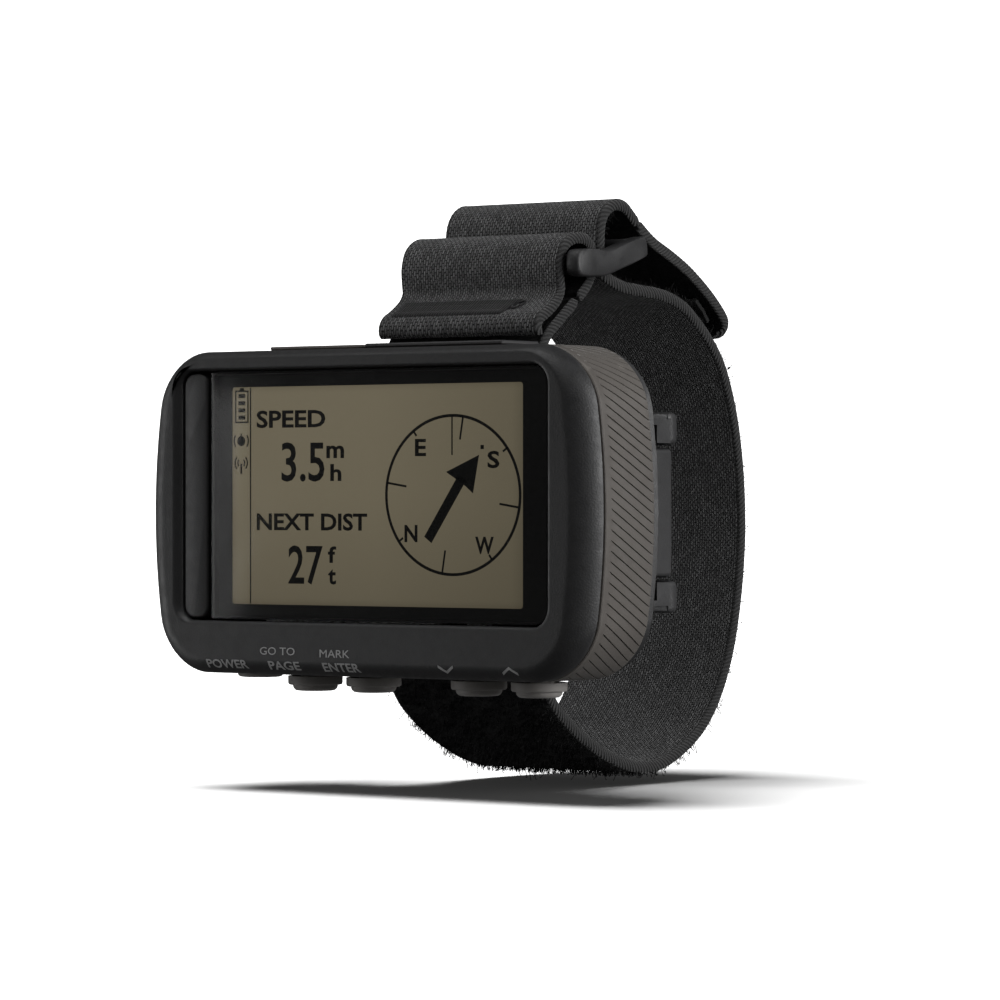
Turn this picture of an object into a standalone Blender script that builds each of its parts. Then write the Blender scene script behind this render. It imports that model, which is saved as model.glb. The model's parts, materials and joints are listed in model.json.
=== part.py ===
"""Wrist-worn handheld GPS unit: a two-shell electronic case on a woven hook-and-loop strap.

All lengths below are millimetres; MM turns them into Blender's metres. The case is drawn about its own
centre: X runs along the long side of the display, Y runs from the front face (Y = 0) to the wrist, and Z is up.
CASE_CENTRE then places that centre above the floor point that is the origin of the whole object.
"""
import math

import bmesh
import bpy
from mathutils import Matrix, Vector

MM = 0.001
CASE_CENTRE = Vector((0.0, -32.93, 33.73))
GAP = 0.3

# case outline
HALF_WIDTH = 35.2
HALF_HEIGHT = 20.25
SIDE_BULGE = 2.2
CORNER_POINTS = 7
SIDE_POINTS = 3
WALL = 1.6

# stack of parts, front to back
BEZEL_BACK = 2.75
FRAME_FRONT = 3.05
FRAME_BACK = 13.4
COVER_FRONT = 13.7
COVER_BACK = 15.2
BLOCK_BACK = 18.6
STRAP_LINE = 19.9
BAR_FRONT = 21.2
BAR_BACK = 23.4
BAR_HALF_LENGTH = 31.6

# window in the bezel
WINDOW_LEFT = -28.9
WINDOW_RIGHT = 28.6
WINDOW_BOTTOM = -13.6
WINDOW_TOP = 17.8
WINDOW_RADIUS = 1.9
NAMEPLATE_WIDTH = 4.5
LENS_LEFT = -23.4
LCD_CENTRE = (1.4, 2.1)
LCD_SIZE = (45.6, 27.2)

# battery bay, closed by a door that slides out sideways
BAY_HALF_LENGTH = 26.8
BAY_HALF_HEIGHT = 11.0
TUB_FRONT = 6.1
TUB_WALL = 0.8
CELL_RADIUS = 5.0
CELL_LENGTH = 44.5
CELL_DEPTH = 12.0
CELL_OFFSET = 5.4
DOOR_HALF_HEIGHT = 10.4
DOOR_THICKNESS = 1.3
BLOCK_HALF_WIDTH = 31.6
BLOCK_HALF_HEIGHT = 12.5

# buttons on the underside
BUTTON_DEPTH = 8.7
POWER_X = -22.9
RAISED_BUTTONS = {"page": -13.9, "enter": -4.5, "down": 12.0, "up": 21.2}
CAP_RADIUS = 2.85
CAP_BOTTOM = -22.5
BOOT_RADIUS = 3.45
BOOT_BOTTOM = -21.7
STEM_RADIUS = 1.8
STEM_HOLE_RADIUS = 2.1

# strap and its ring buckle, as seen from the side: (Y, Z)
STRAP_HALF_WIDTH = 12.5
LOOP_THICKNESS = 1.8
FOLD_THICKNESS = 1.5
BUCKLE_PIVOT = (28.7, 31.3)
BACK_BAR = (38.2, 33.9)
TAIL_HINGE = (42.9, 37.3)
THIN_PLATE = 1.2
THIN_PLATE_FRONT = 26.9

# corner screws, seen from the back
SCREW_X = 29.2
SCREW_Z = 15.2

PARTS = None
CUTTERS = None


def clear_scene():
    for old in list(bpy.data.objects):
        bpy.data.objects.remove(old, do_unlink=True)


def new_collection(name):
    group = bpy.data.collections.new(name)
    bpy.context.scene.collection.children.link(group)
    return group


def material(name, colour, roughness, metallic=0.0):
    found = bpy.data.materials.get(name)
    if found:
        return found
    made = bpy.data.materials.new(name)
    made.use_nodes = True
    shader = made.node_tree.nodes["Principled BSDF"]
    shader.inputs["Base Color"].default_value = (*colour, 1.0)
    shader.inputs["Roughness"].default_value = roughness
    shader.inputs["Metallic"].default_value = metallic
    return made


def dark_plastic():
    return material("dark_plastic", (0.022, 0.022, 0.023), 0.55)


def bronze_plastic():
    return material("bronze_plastic", (0.075, 0.068, 0.058), 0.45)


def black_plastic():
    return material("black_plastic", (0.008, 0.008, 0.008), 0.5)


def rubber():
    return material("rubber", (0.05, 0.046, 0.042), 0.75)


def seal_rubber():
    return material("seal_rubber", (0.02, 0.02, 0.02), 0.8)


def clear_plastic():
    return material("clear_plastic", (0.03, 0.03, 0.03), 0.1)


def display_glass():
    return material("display_glass", (0.17, 0.15, 0.105), 0.3)


def board_green():
    return material("board_green", (0.02, 0.09, 0.04), 0.5)


def metal():
    return material("metal", (0.55, 0.55, 0.56), 0.35, 1.0)


def ceramic():
    return material("ceramic", (0.62, 0.58, 0.5), 0.6)


def cell_wrap():
    return material("cell_wrap", (0.1, 0.11, 0.13), 0.4, 0.3)


def webbing():
    return material("webbing", (0.018, 0.018, 0.019), 0.9)


def finish(mesh_data, name, finish_material, at=(0, 0, 0), group=None):
    """Turns a bmesh drawn in millimetres about the case centre into a named object with its origin at `at`."""
    origin = Vector(at)
    bmesh.ops.translate(mesh_data, verts=mesh_data.verts, vec=-origin)
    bmesh.ops.scale(mesh_data, verts=mesh_data.verts, vec=(MM, MM, MM))
    bmesh.ops.recalc_face_normals(mesh_data, faces=mesh_data.faces)
    mesh = bpy.data.meshes.new(name)
    mesh_data.to_mesh(mesh)
    mesh_data.free()
    made = bpy.data.objects.new(name, mesh)
    made.location = (CASE_CENTRE + origin) * MM
    (group or PARTS).objects.link(made)
    if finish_material:
        mesh.materials.append(finish_material)
    mesh.shade_smooth()
    mesh.set_sharp_from_angle(angle=math.radians(35))
    return made


def as_cutter(mesh_data, name):
    made = finish(mesh_data, name, None, group=CUTTERS)
    made.hide_render = True
    made.display_type = "WIRE"
    return made


def combine(target, cutter, operation="DIFFERENCE"):
    step = target.modifiers.new(operation.lower() + "_" + cutter.name, "BOOLEAN")
    step.operation = operation
    step.solver = "EXACT"
    step.object = cutter
    return target


def box_mesh(low, high):
    made = bmesh.new()
    bmesh.ops.create_cube(made, size=1.0)
    size = [b - a for a, b in zip(low, high)]
    centre = [(a + b) / 2 for a, b in zip(low, high)]
    bmesh.ops.scale(made, verts=made.verts, vec=size)
    bmesh.ops.translate(made, verts=made.verts, vec=centre)
    return made


def box(name, low, high, finish_material, edge=0.0, at=None):
    """A box between two corners, with its edges rounded by `edge` and its origin at its centre."""
    made = box_mesh(low, high)
    if edge:
        bmesh.ops.bevel(made, geom=made.edges[:], offset=edge, segments=2, profile=0.5, affect="EDGES")
    centre = at or [(a + b) / 2 for a, b in zip(low, high)]
    return finish(made, name, finish_material, centre)


def rod_mesh(radius, start, end, sides=24):
    """A closed cylinder between two points."""
    made = bmesh.new()
    line = Vector(end) - Vector(start)
    bmesh.ops.create_cone(made, cap_ends=True, segments=sides, radius1=radius, radius2=radius, depth=line.length)
    turn = line.to_track_quat("Z", "Y").to_matrix().to_4x4()
    place = Matrix.Translation((Vector(start) + Vector(end)) / 2)
    bmesh.ops.transform(made, matrix=place @ turn, verts=made.verts)
    return made


def turned(name, profile, base, axis, finish_material, sides=28):
    """A turned solid: profile is (radius, height) pairs from one end of the axis to the other."""
    made = bmesh.new()
    turn = Vector(axis).to_track_quat("Z", "Y").to_matrix()
    rings = []
    for radius, height in profile:
        ring = []
        for step in range(sides):
            angle = 2 * math.pi * step / sides
            local = Vector((radius * math.cos(angle), radius * math.sin(angle), height))
            ring.append(made.verts.new(Vector(base) + turn @ local))
        rings.append(ring)
    join_rings(made, rings)
    made.faces.new(rings[0])
    made.faces.new(rings[-1])
    return finish(made, name, finish_material, base)


def join_rings(made, rings, closed=False):
    """Quads between each loop of vertices and the next, and back to the first one if `closed`."""
    pairs = list(zip(rings, rings[1:]))
    if closed:
        pairs.append((rings[-1], rings[0]))
    for first, second in pairs:
        count = len(first)
        for i in range(count):
            j = (i + 1) % count
            made.faces.new((first[i], first[j], second[j], second[i]))


def rounded_outline(left, right, bottom, top, radius, depth, bulge=0.0):
    """A rounded rectangle at Y = depth, whose left and right sides swell by `bulge` at mid-height."""
    corners = [
        (right - radius, bottom + radius, -90),
        (right - radius, top - radius, 0),
        (left + radius, top - radius, 90),
        (left + radius, bottom + radius, 180),
    ]
    flat = []
    for number, (x, z, start) in enumerate(corners):
        for step in range(CORNER_POINTS):
            angle = math.radians(start + 90 * step / (CORNER_POINTS - 1))
            flat.append((x + radius * math.cos(angle), z + radius * math.sin(angle)))
        next_x, next_z, next_start = corners[(number + 1) % 4]
        begin = flat[-1]
        angle = math.radians(next_start)
        end = (next_x + radius * math.cos(angle), next_z + radius * math.sin(angle))
        for step in range(1, SIDE_POINTS + 1):
            share = step / (SIDE_POINTS + 1)
            flat.append((begin[0] + (end[0] - begin[0]) * share, begin[1] + (end[1] - begin[1]) * share))
    half = max(abs(left), abs(right))
    points = []
    for x, z in flat:
        share = (z / HALF_HEIGHT) ** 2
        points.append((x * (1 - bulge / half * share), depth, z))
    return points


def case_outline(depth, width_inset=0.0, top_inset=0.0, bottom_inset=0.0, radius=7.5):
    return rounded_outline(
        -HALF_WIDTH + width_inset,
        HALF_WIDTH - width_inset,
        -HALF_HEIGHT + bottom_inset,
        HALF_HEIGHT - top_inset,
        radius,
        depth,
        SIDE_BULGE,
    )


def even_outline(depth, inset, radius=7.5):
    return case_outline(depth, inset, inset, inset, max(radius - inset, 0.8))


def loft(name, outlines, finish_material, hollow=False, cutter=False):
    """A solid through a row of equal-length outlines. A hollow one is a ring: its last outline joins its first."""
    made = bmesh.new()
    rings = [[made.verts.new(point) for point in outline] for outline in outlines]
    join_rings(made, rings, closed=hollow)
    if not hollow:
        made.faces.new(rings[0])
        made.faces.new(rings[-1])
    if cutter:
        bmesh.ops.recalc_face_normals(made, faces=made.faces)
        return as_cutter(made, name)
    return finish(made, name, finish_material)


def flat_plate(name, extent, radius, front, back, finish_material, soft=0.15):
    """A flat plate with rounded corners and softly broken front edges; extent is (left, right, bottom, top)."""
    left, right, bottom, top = extent
    outlines = [
        rounded_outline(left + soft, right - soft, bottom + soft, top - soft, radius - soft, front),
        rounded_outline(left, right, bottom, top, radius, front + soft),
        rounded_outline(left, right, bottom, top, radius, back),
    ]
    return loft(name, outlines, finish_material)


def smooth_line(points, spacing):
    """Points about `spacing` apart along a Catmull-Rom curve through the given (Y, Z) points."""
    ends = [points[0], *points, points[-1]]
    line = []
    for before, start, end, after in zip(ends, ends[1:], ends[2:], ends[3:]):
        length = math.dist(start, end)
        steps = max(1, round(length / spacing))
        for step in range(steps):
            t = step / steps
            point = []
            for p0, p1, p2, p3 in zip(before, start, end, after):
                point.append(
                    0.5 * (2 * p1 + (p2 - p0) * t + (2 * p0 - 5 * p1 + 4 * p2 - p3) * t**2
                           + (3 * p1 - p0 - 3 * p2 + p3) * t**3)
                )
            line.append(tuple(point))
    line.append(tuple(points[-1]))
    return line


def ribbon(name, points, thickness, finish_material, half_width=STRAP_HALF_WIDTH, spacing=1.6, at=None):
    """A flat strap of the given thickness whose middle line follows (Y, Z) points, lying across X."""
    line = smooth_line(points, spacing)
    made = bmesh.new()
    rings = []
    for i, (y, z) in enumerate(line):
        y0, z0 = line[max(i - 1, 0)]
        y1, z1 = line[min(i + 1, len(line) - 1)]
        length = math.hypot(y1 - y0, z1 - z0)
        side_y = -(z1 - z0) / length * thickness / 2
        side_z = (y1 - y0) / length * thickness / 2
        corners = [(-1, 1), (1, 1), (1, -1), (-1, -1)]
        rings.append([made.verts.new((a * half_width, y + b * side_y, z + b * side_z)) for a, b in corners])
    join_rings(made, rings)
    made.faces.new(rings[0])
    made.faces.new(rings[-1])
    return finish(made, name, finish_material, at or (0, *line[0]))


def side_plate_mesh(outline, low_x, high_x):
    """A plate across X with the given (Y, Z) outline."""
    made = bmesh.new()
    rings = [[made.verts.new((x, y, z)) for y, z in outline] for x in (low_x, high_x)]
    join_rings(made, rings)
    made.faces.new(rings[0])
    made.faces.new(rings[-1])
    bmesh.ops.recalc_face_normals(made, faces=made.faces)
    return made


def oval(centre, half_y, half_z, count=14):
    """A soft rectangle (a superellipse) in the (Y, Z) plane."""
    points = []
    for step in range(count):
        angle = 2 * math.pi * (step + 0.5) / count
        c, s = math.cos(angle), math.sin(angle)
        grow = (c**4 + s**4) ** -0.25
        points.append((centre[0] + half_y * c * grow, centre[1] + half_z * s * grow))
    return points


def window_outline(depth, inset=0.0, left=WINDOW_LEFT):
    return rounded_outline(
        left + inset,
        WINDOW_RIGHT - inset,
        WINDOW_BOTTOM + inset,
        WINDOW_TOP - inset,
        max(WINDOW_RADIUS - inset, 0.4),
        depth,
    )


def front_bezel():
    """The front shell: a pillow-edged frame round the window, open behind for the display."""
    outer = [
        case_outline(0.0, 3.4, 1.0, 1.9, 5.2),
        case_outline(0.45, 2.3, 0.45, 0.8, 5.9),
        case_outline(1.3, 1.2, 0.12, 0.25, 6.7),
        case_outline(2.1, 0.4, 0.0, 0.05, 7.2),
        case_outline(BEZEL_BACK, 0.0, 0.0, 0.0, 7.5),
    ]
    inner = [
        even_outline(BEZEL_BACK, WALL),
        even_outline(2.2, WALL + 0.4),
        window_outline(2.0),
        window_outline(0.2),
        window_outline(0.0, -0.2),
    ]
    return loft("front_bezel", outer + inner, dark_plastic(), hollow=True)


def nameplate_strip():
    """The blank strip left of the window."""
    right = WINDOW_LEFT + NAMEPLATE_WIDTH
    extent = (WINDOW_LEFT + GAP, right, WINDOW_BOTTOM + GAP, WINDOW_TOP - GAP)
    return flat_plate("nameplate_strip", extent, WINDOW_RADIUS - GAP, 0.5, 1.9, dark_plastic(), soft=0.25)


def display_stack():
    """The lens, its gasket, the display and what lights and holds it."""
    extent = (LENS_LEFT, WINDOW_RIGHT - GAP, WINDOW_BOTTOM + GAP, WINDOW_TOP - GAP)
    flat_plate("display_lens", extent, WINDOW_RADIUS - GAP, 0.35, 1.45, clear_plastic())
    half_w, half_h = LCD_SIZE[0] / 2, LCD_SIZE[1] / 2
    x, z = LCD_CENTRE
    outer = (x - half_w - 1.0, x + half_w + 1.0, z - half_h - 0.6, z + half_h + 0.6)
    inner = (x - half_w, x + half_w, z - half_h, z + half_h)
    gasket = [
        rounded_outline(*outer, 0.8, 1.75),
        rounded_outline(*outer, 0.8, 2.05),
        rounded_outline(*inner, 0.5, 2.05),
        rounded_outline(*inner, 0.5, 1.75),
    ]
    loft("lens_gasket", gasket, seal_rubber(), hollow=True)
    box("lcd_panel", (outer[0], 2.35, outer[2]), (outer[1], 3.35, outer[3]), display_glass(), edge=0.08)
    box("light_guide", (inner[0], 3.65, inner[2]), (inner[1], 4.35, inner[3]), clear_plastic(), edge=0.08)
    frame_outer = (outer[0] - 1.0, outer[1] + 1.0, outer[2] - 0.9, outer[3] + 0.9)
    frame_inner = (outer[0] - GAP, outer[1] + GAP, outer[2] - GAP, outer[3] + GAP)
    holder = [
        rounded_outline(*frame_outer, 1.0, 2.35),
        rounded_outline(*frame_outer, 1.0, 4.5),
        rounded_outline(*frame_inner, 0.6, 4.5),
        rounded_outline(*frame_inner, 0.6, 2.35),
    ]
    loft("lcd_holder", holder, black_plastic(), hollow=True)


def mid_frame():
    """The bronze ring between the shells, with screw bosses, the button holes and the socket recess."""
    outlines = [
        even_outline(FRAME_FRONT, 0.1),
        even_outline(FRAME_FRONT + 0.5, 0.0),
        even_outline(FRAME_BACK - 0.6, 0.1),
        even_outline(FRAME_BACK, 0.5),
        even_outline(FRAME_BACK, WALL),
        even_outline(FRAME_FRONT, WALL),
    ]
    ring = loft("mid_frame", outlines, bronze_plastic(), hollow=True)
    for x in (-SCREW_X, SCREW_X):
        for z in (-SCREW_Z, SCREW_Z):
            side = ("l" if x < 0 else "r") + ("b" if z < 0 else "t")
            boss = as_cutter(rod_mesh(3.1, (x, 7.0, z), (x, FRAME_BACK - 0.9, z)), "boss_" + side)
            combine(ring, boss, "UNION")
            bore = as_cutter(rod_mesh(1.1, (x, 6.0, z), (x, 14.0, z), 16), "boss_bore_" + side)
            combine(ring, bore)
    for name, x in {"power": POWER_X, **RAISED_BUTTONS}.items():
        hole = rod_mesh(STEM_HOLE_RADIUS, (x, BUTTON_DEPTH, -22), (x, BUTTON_DEPTH, -18), 20)
        combine(ring, as_cutter(hole, name + "_hole"))
    recess = rod_mesh(3.25, (POWER_X, BUTTON_DEPTH, -22), (POWER_X, BUTTON_DEPTH, -19.35), 24)
    combine(ring, as_cutter(recess, "power_recess"))
    combine(ring, as_cutter(box_mesh((2.0, 5.6, 18.0), (14.0, 11.6, 21.0)), "socket_recess"))
    return ring


def case_seal(name, front, thickness):
    """A moulded rubber ring pinched between two shells, just inside their walls."""
    inset = WALL + GAP
    outlines = [
        even_outline(front, inset),
        even_outline(front + thickness, inset),
        even_outline(front + thickness, inset + 0.9),
        even_outline(front, inset + 0.9),
    ]
    return loft(name, outlines, seal_rubber(), hollow=True)


def rear_cover():
    """The back shell: a plate, the battery tub that reaches into the case, and the two strap bars."""
    plate = [
        even_outline(COVER_FRONT, 0.5),
        even_outline(COVER_FRONT + 0.7, 0.35),
        even_outline(COVER_BACK - 0.4, 0.9),
        even_outline(COVER_BACK, 1.7),
    ]
    cover = loft("rear_cover", plate, dark_plastic())
    block_low = (-BLOCK_HALF_WIDTH, 14.2, -BLOCK_HALF_HEIGHT)
    block_high = (BLOCK_HALF_WIDTH, BLOCK_BACK, BLOCK_HALF_HEIGHT)
    block = box_mesh(block_low, block_high)
    bmesh.ops.bevel(block, geom=block.edges[:], offset=0.9, segments=2, profile=0.5, affect="EDGES")
    combine(cover, as_cutter(block, "battery_block"), "UNION")
    tub_half = BAY_HALF_LENGTH + TUB_WALL
    tub_height = BAY_HALF_HEIGHT + TUB_WALL
    tub = box_mesh((-tub_half, TUB_FRONT, -tub_height), (tub_half, 14.8, tub_height))
    combine(cover, as_cutter(tub, "battery_tub"), "UNION")
    for side in (-1, 1):
        z_low, z_high = sorted((side * 8.3, side * 12.3))
        beam = box_mesh((-BAR_HALF_LENGTH, BAR_FRONT, z_low), (BAR_HALF_LENGTH, BAR_BACK, z_high))
        bmesh.ops.bevel(beam, geom=beam.edges[:], offset=0.7, segments=2, profile=0.5, affect="EDGES")
        combine(cover, as_cutter(beam, f"bar_{side}"), "UNION")
        foot_low, foot_high = sorted((side * 10.9, side * 12.0))
        for end in (-1, 1):
            x_low, x_high = sorted((end * 13.2, end * 31.2))
            foot = box_mesh((x_low, 17.6, foot_low), (x_high, 22.2, foot_high))
            combine(cover, as_cutter(foot, f"bar_foot_{side}_{end}"), "UNION")
            x_low, x_high = sorted((end * 28.1, end * 31.45))
            z_low, z_high = sorted((side * 8.5, side * 11.4))
            cheek = box_mesh((x_low, 18.3, z_low), (x_high, 21.9, z_high))
            combine(cover, as_cutter(cheek, f"bar_cheek_{side}_{end}"), "UNION")
    bay = box_mesh(
        (-BAY_HALF_LENGTH, TUB_FRONT + TUB_WALL, -BAY_HALF_HEIGHT + 0.4),
        (BAY_HALF_LENGTH, 17.9, BAY_HALF_HEIGHT - 0.4),
    )
    combine(cover, as_cutter(bay, "battery_bay"))
    track = box_mesh((-29.3, 16.4, -DOOR_HALF_HEIGHT - GAP), (33.0, 18.95, DOOR_HALF_HEIGHT + GAP))
    combine(cover, as_cutter(track, "door_track"))
    for x in (-SCREW_X, SCREW_X):
        for z in (-SCREW_Z, SCREW_Z):
            side = ("l" if x < 0 else "r") + ("b" if z < 0 else "t")
            combine(cover, as_cutter(rod_mesh(1.1, (x, 12.0, z), (x, 17.0, z), 16), "cover_bore_" + side))
            sink = rod_mesh(1.8, (x, 14.3, z), (x, 17.0, z), 20)
            combine(cover, as_cutter(sink, "screw_sink_" + side))
    return cover


def battery_door():
    """A flat door that slides out to the right under the strap, with a thumb ridge at its outer end."""
    back = 17.3 + DOOR_THICKNESS
    low = (-29.0, 17.3, -DOOR_HALF_HEIGHT)
    high = (31.4, back, DOOR_HALF_HEIGHT)
    door = box("battery_door", low, high, dark_plastic(), edge=0.2)
    ridge = box_mesh((27.6, back - 0.4, -7.9), (31.2, 22.8, 7.9))
    bmesh.ops.bevel(ridge, geom=ridge.edges[:], offset=0.6, segments=2, profile=0.5, affect="EDGES")
    combine(door, as_cutter(ridge, "door_ridge"), "UNION")
    combine(door, as_cutter(rod_mesh(2.2, (20.5, 16.0, 0), (20.5, 21.0, 0), 24), "latch_hole"))
    return door


def door_latch():
    """The quarter-turn catch in the door, with a raised grip across it."""
    latch = turned(
        "door_latch", [(1.9, 17.4), (1.9, 18.75), (1.75, 18.9)], (20.5, 0, 0), (0, 1, 0), metal(), 24
    )
    grip = box_mesh((20.1, 18.6, -1.6), (20.9, 20.3, 1.6))
    combine(latch, as_cutter(grip, "latch_grip"), "UNION")
    return latch


def door_seal():
    """The flat rubber ring round the battery bay, under the door."""
    outlines = []
    rim = (-28.6, 28.6, -10.5, 10.5)
    hole = (-27.2, 27.2, -9.9, 9.9)
    for extent, depth in ((rim, 16.7), (rim, 17.0), (hole, 17.0), (hole, 16.7)):
        outlines.append(rounded_outline(*extent, 0.5, depth))
    return loft("door_seal", outlines, seal_rubber(), hollow=True)


def battery_cells():
    """Two small dry cells, one above the other, facing opposite ways."""
    half = CELL_LENGTH / 2
    profile = [
        (3.8, -half), (4.9, -half + 0.1), (CELL_RADIUS, -half + 0.4), (CELL_RADIUS, half - 1.3),
        (4.7, half - 0.9), (1.9, half - 0.85), (1.8, half),
    ]
    for number, side in ((1, 1), (2, -1)):
        base = (0, CELL_DEPTH, side * CELL_OFFSET)
        turned(f"battery_cell_{number}", profile, base, (side, 0, 0), cell_wrap(), 24)


def contact_spring(name, start_x, end_x, height):
    """The coiled negative contact, wound from a wide turn on the plate to a narrow one on the cell."""
    turns, steps_per_turn = 3, 12
    count = turns * steps_per_turn
    curve = bpy.data.curves.new(name, "CURVE")
    curve.dimensions = "3D"
    curve.bevel_depth = 0.3 * MM
    curve.bevel_resolution = 1
    curve.use_fill_caps = True
    spline = curve.splines.new("POLY")
    spline.points.add(count)
    for step in range(count + 1):
        share = step / count
        radius = 3.6 - 1.6 * share
        angle = 2 * math.pi * turns * share
        point = (
            (start_x + (end_x - start_x) * share) * MM,
            radius * math.cos(angle) * MM,
            radius * math.sin(angle) * MM,
        )
        spline.points[step].co = (*point, 1.0)
    wire = bpy.data.objects.new(name + "_wire", curve)
    wire.location = (CASE_CENTRE + Vector((0, CELL_DEPTH, height))) * MM
    PARTS.objects.link(wire)
    bpy.context.view_layer.update()
    graph = bpy.context.evaluated_depsgraph_get()
    mesh = bpy.data.meshes.new_from_object(wire.evaluated_get(graph))
    made = bmesh.new()
    made.from_mesh(mesh)
    bmesh.ops.remove_doubles(made, verts=made.verts, dist=0.00001)
    bmesh.ops.recalc_face_normals(made, faces=made.faces)
    made.to_mesh(mesh)
    made.free()
    spring = bpy.data.objects.new(name, mesh)
    spring.matrix_world = wire.matrix_world
    mesh.materials.append(metal())
    PARTS.objects.link(spring)
    bpy.data.objects.remove(wire)
    return spring


def battery_contacts():
    """One long plate joins the cells at the left end; two plates take the current off at the right end."""
    front, back = CELL_DEPTH - 3.8, CELL_DEPTH + 3.8
    end = BAY_HALF_LENGTH - GAP
    box("contact_bridge", (-end, front, -9.6), (-end + 0.4, back, 9.6), metal())
    box("contact_plate_upper", (end - 0.4, front, 1.2), (end, back, 9.6), metal())
    box("contact_plate_lower", (end - 0.4, front, -9.6), (end, back, -1.2), metal())
    near, far = CELL_LENGTH / 2 + 0.7, end - 1.1
    contact_spring("contact_spring_left", -far, -near, CELL_OFFSET)
    contact_spring("contact_spring_right", far, near, -CELL_OFFSET)


def electronics():
    """The main board with what stands on it, and the narrow board behind the buttons."""
    box("main_board", (-29.4, 4.9, -11.9), (29.4, 5.8, 16.8), board_green())
    box("gps_antenna", (-23.0, 6.2, 12.7), (-6.0, 11.2, 17.7), ceramic(), edge=0.15)
    box("usb_port", (4.2, 6.4, 13.6), (11.8, 10.4, 17.4), metal(), edge=0.2)
    box("beeper", (16.5, 6.2, 12.7), (22.5, 9.2, 17.6), black_plastic(), edge=0.2)
    box("radio_shield", (-20.0, 6.2, -15.8), (8.0, 12.4, -12.6), metal(), edge=0.15)
    box("compass_sensor", (12.0, 6.2, -15.6), (16.0, 7.4, -12.6), black_plastic(), edge=0.1)
    box("switch_board", (-26.0, 5.8, -16.9), (24.8, 11.8, -16.1), board_green())
    box("key_mat", (-25.6, 6.2, -18.05), (24.4, 11.4, -17.65), rubber())
    for name, x in {"power": POWER_X, **RAISED_BUTTONS}.items():
        dome = [(1.7, -17.35), (1.9, -17.2)]
        turned(name + "_switch", dome, (x, BUTTON_DEPTH, 0), (0, 0, 1), metal(), 16)


def raised_button(name, x):
    """A round push button: its cap stands out of a rubber boot, and its stem reaches through the frame."""
    profile = [
        (2.3, CAP_BOTTOM), (2.65, CAP_BOTTOM + 0.12), (CAP_RADIUS, CAP_BOTTOM + 0.4),
        (CAP_RADIUS, -20.95), (STEM_RADIUS, -20.95), (STEM_RADIUS, -18.7),
    ]
    turned(name + "_button", profile, (x, BUTTON_DEPTH, 0), (0, 0, 1), rubber())
    low, high = BOOT_BOTTOM, -HALF_HEIGHT - GAP
    made = bmesh.new()
    rings = []
    for radius, height in (
        (BOOT_RADIUS - 0.15, low), (BOOT_RADIUS, low + 0.2), (BOOT_RADIUS, high),
        (CAP_RADIUS + 0.25, high), (CAP_RADIUS + 0.25, low),
    ):
        ring = []
        for step in range(28):
            angle = 2 * math.pi * step / 28
            point = (x + radius * math.cos(angle), BUTTON_DEPTH + radius * math.sin(angle), height)
            ring.append(made.verts.new(point))
        rings.append(ring)
    join_rings(made, rings, closed=True)
    finish(made, name + "_boot", rubber(), (x, BUTTON_DEPTH, low))


def power_button():
    """The power button sits almost flush, so that it isn't pressed by accident."""
    profile = [
        (2.5, -20.95), (2.85, -20.8), (2.95, -20.5), (2.95, -19.95),
        (STEM_RADIUS, -19.95), (STEM_RADIUS, -18.7),
    ]
    turned("power_button", profile, (POWER_X, BUTTON_DEPTH, 0), (0, 0, 1), rubber())


def top_details():
    """The raised rib on the top, and the weather cap of the socket, which hinges along its back edge."""
    rib_low, rib_high = HALF_HEIGHT + 0.15, 20.85
    box("top_rib", (-18.6, 5.4, rib_low), (-3.6, 12.0, rib_high), dark_plastic(), edge=0.15)
    hinge = (8.0, 12.6, 20.5)
    cap = box("usb_cap", (-3.0, 5.0, 20.45), (18.3, 12.6, 20.95), rubber(), edge=0.15, at=hinge)
    plug = box_mesh((2.8, 6.5, 19.6), (13.2, 10.9, 20.7))
    combine(cap, as_cutter(plug, "usb_cap_plug"), "UNION")


def screws():
    """Four small countersunk screws that hold the back shell to the front one."""
    for x, side in ((-SCREW_X, "left"), (SCREW_X, "right")):
        for z, level in ((-SCREW_Z, "lower"), (SCREW_Z, "upper")):
            profile = [(0.6, 7.4), (0.8, 7.6), (0.8, 14.55), (1.5, 14.6), (1.5, 15.0), (1.2, 15.15)]
            turned(f"case_screw_{level}_{side}", profile, (x, 0, z), (0, 1, 0), metal(), 16)


def strap():
    """One woven strap: sewn round the front bar, behind the case, round the wrist and back over the rear bar."""
    loop_line = [
        (35.3, 29.9), (38.5, 28.9), (42.2, 28.5), (46.6, 28.2), (50.0, 27.6), (53.0, 26.5), (55.6, 24.8),
        (58.4, 22.2), (61.0, 18.4), (63.2, 12.5), (64.4, 6.0), (64.9, 0.0), (64.8, -5.0), (63.9, -11.5),
        (62.3, -18.0), (59.9, -23.5), (56.6, -27.8), (52.2, -30.9), (47.2, -32.6), (42.0, -32.7), (36.6, -31.4),
        (31.2, -29.0), (27.2, -26.6), (23.9, -23.9), (21.3, -20.0), (20.1, -16.0), (STRAP_LINE, -12.0),
        (STRAP_LINE, 0.0), (STRAP_LINE, 12.0), (20.1, 15.5), (20.9, 19.0), (22.6, 22.0), (25.6, 24.4),
        (28.6, 26.6),
    ]
    ribbon("strap_loop", loop_line, LOOP_THICKNESS, webbing())
    fold_line = [
        (29.0, 26.95), (31.0, 28.6), (32.2, 30.4), (32.4, 32.2), (31.7, 33.9), (30.0, 34.6), (27.8, 34.4),
        (26.0, 33.2), (25.3, 31.2), (25.4, 29.3), (25.5, 27.9), (24.6, 26.5), (22.6, 25.1), (21.1, 24.1), (20.6, 23.2),
    ]
    ribbon("strap_fold", fold_line, FOLD_THICKNESS, webbing(), spacing=1.2)
    ribbon("stitch_bar", [(21.6, 25.75), (23.7, 27.15)], 0.4, webbing(), half_width=11.4)


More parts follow.
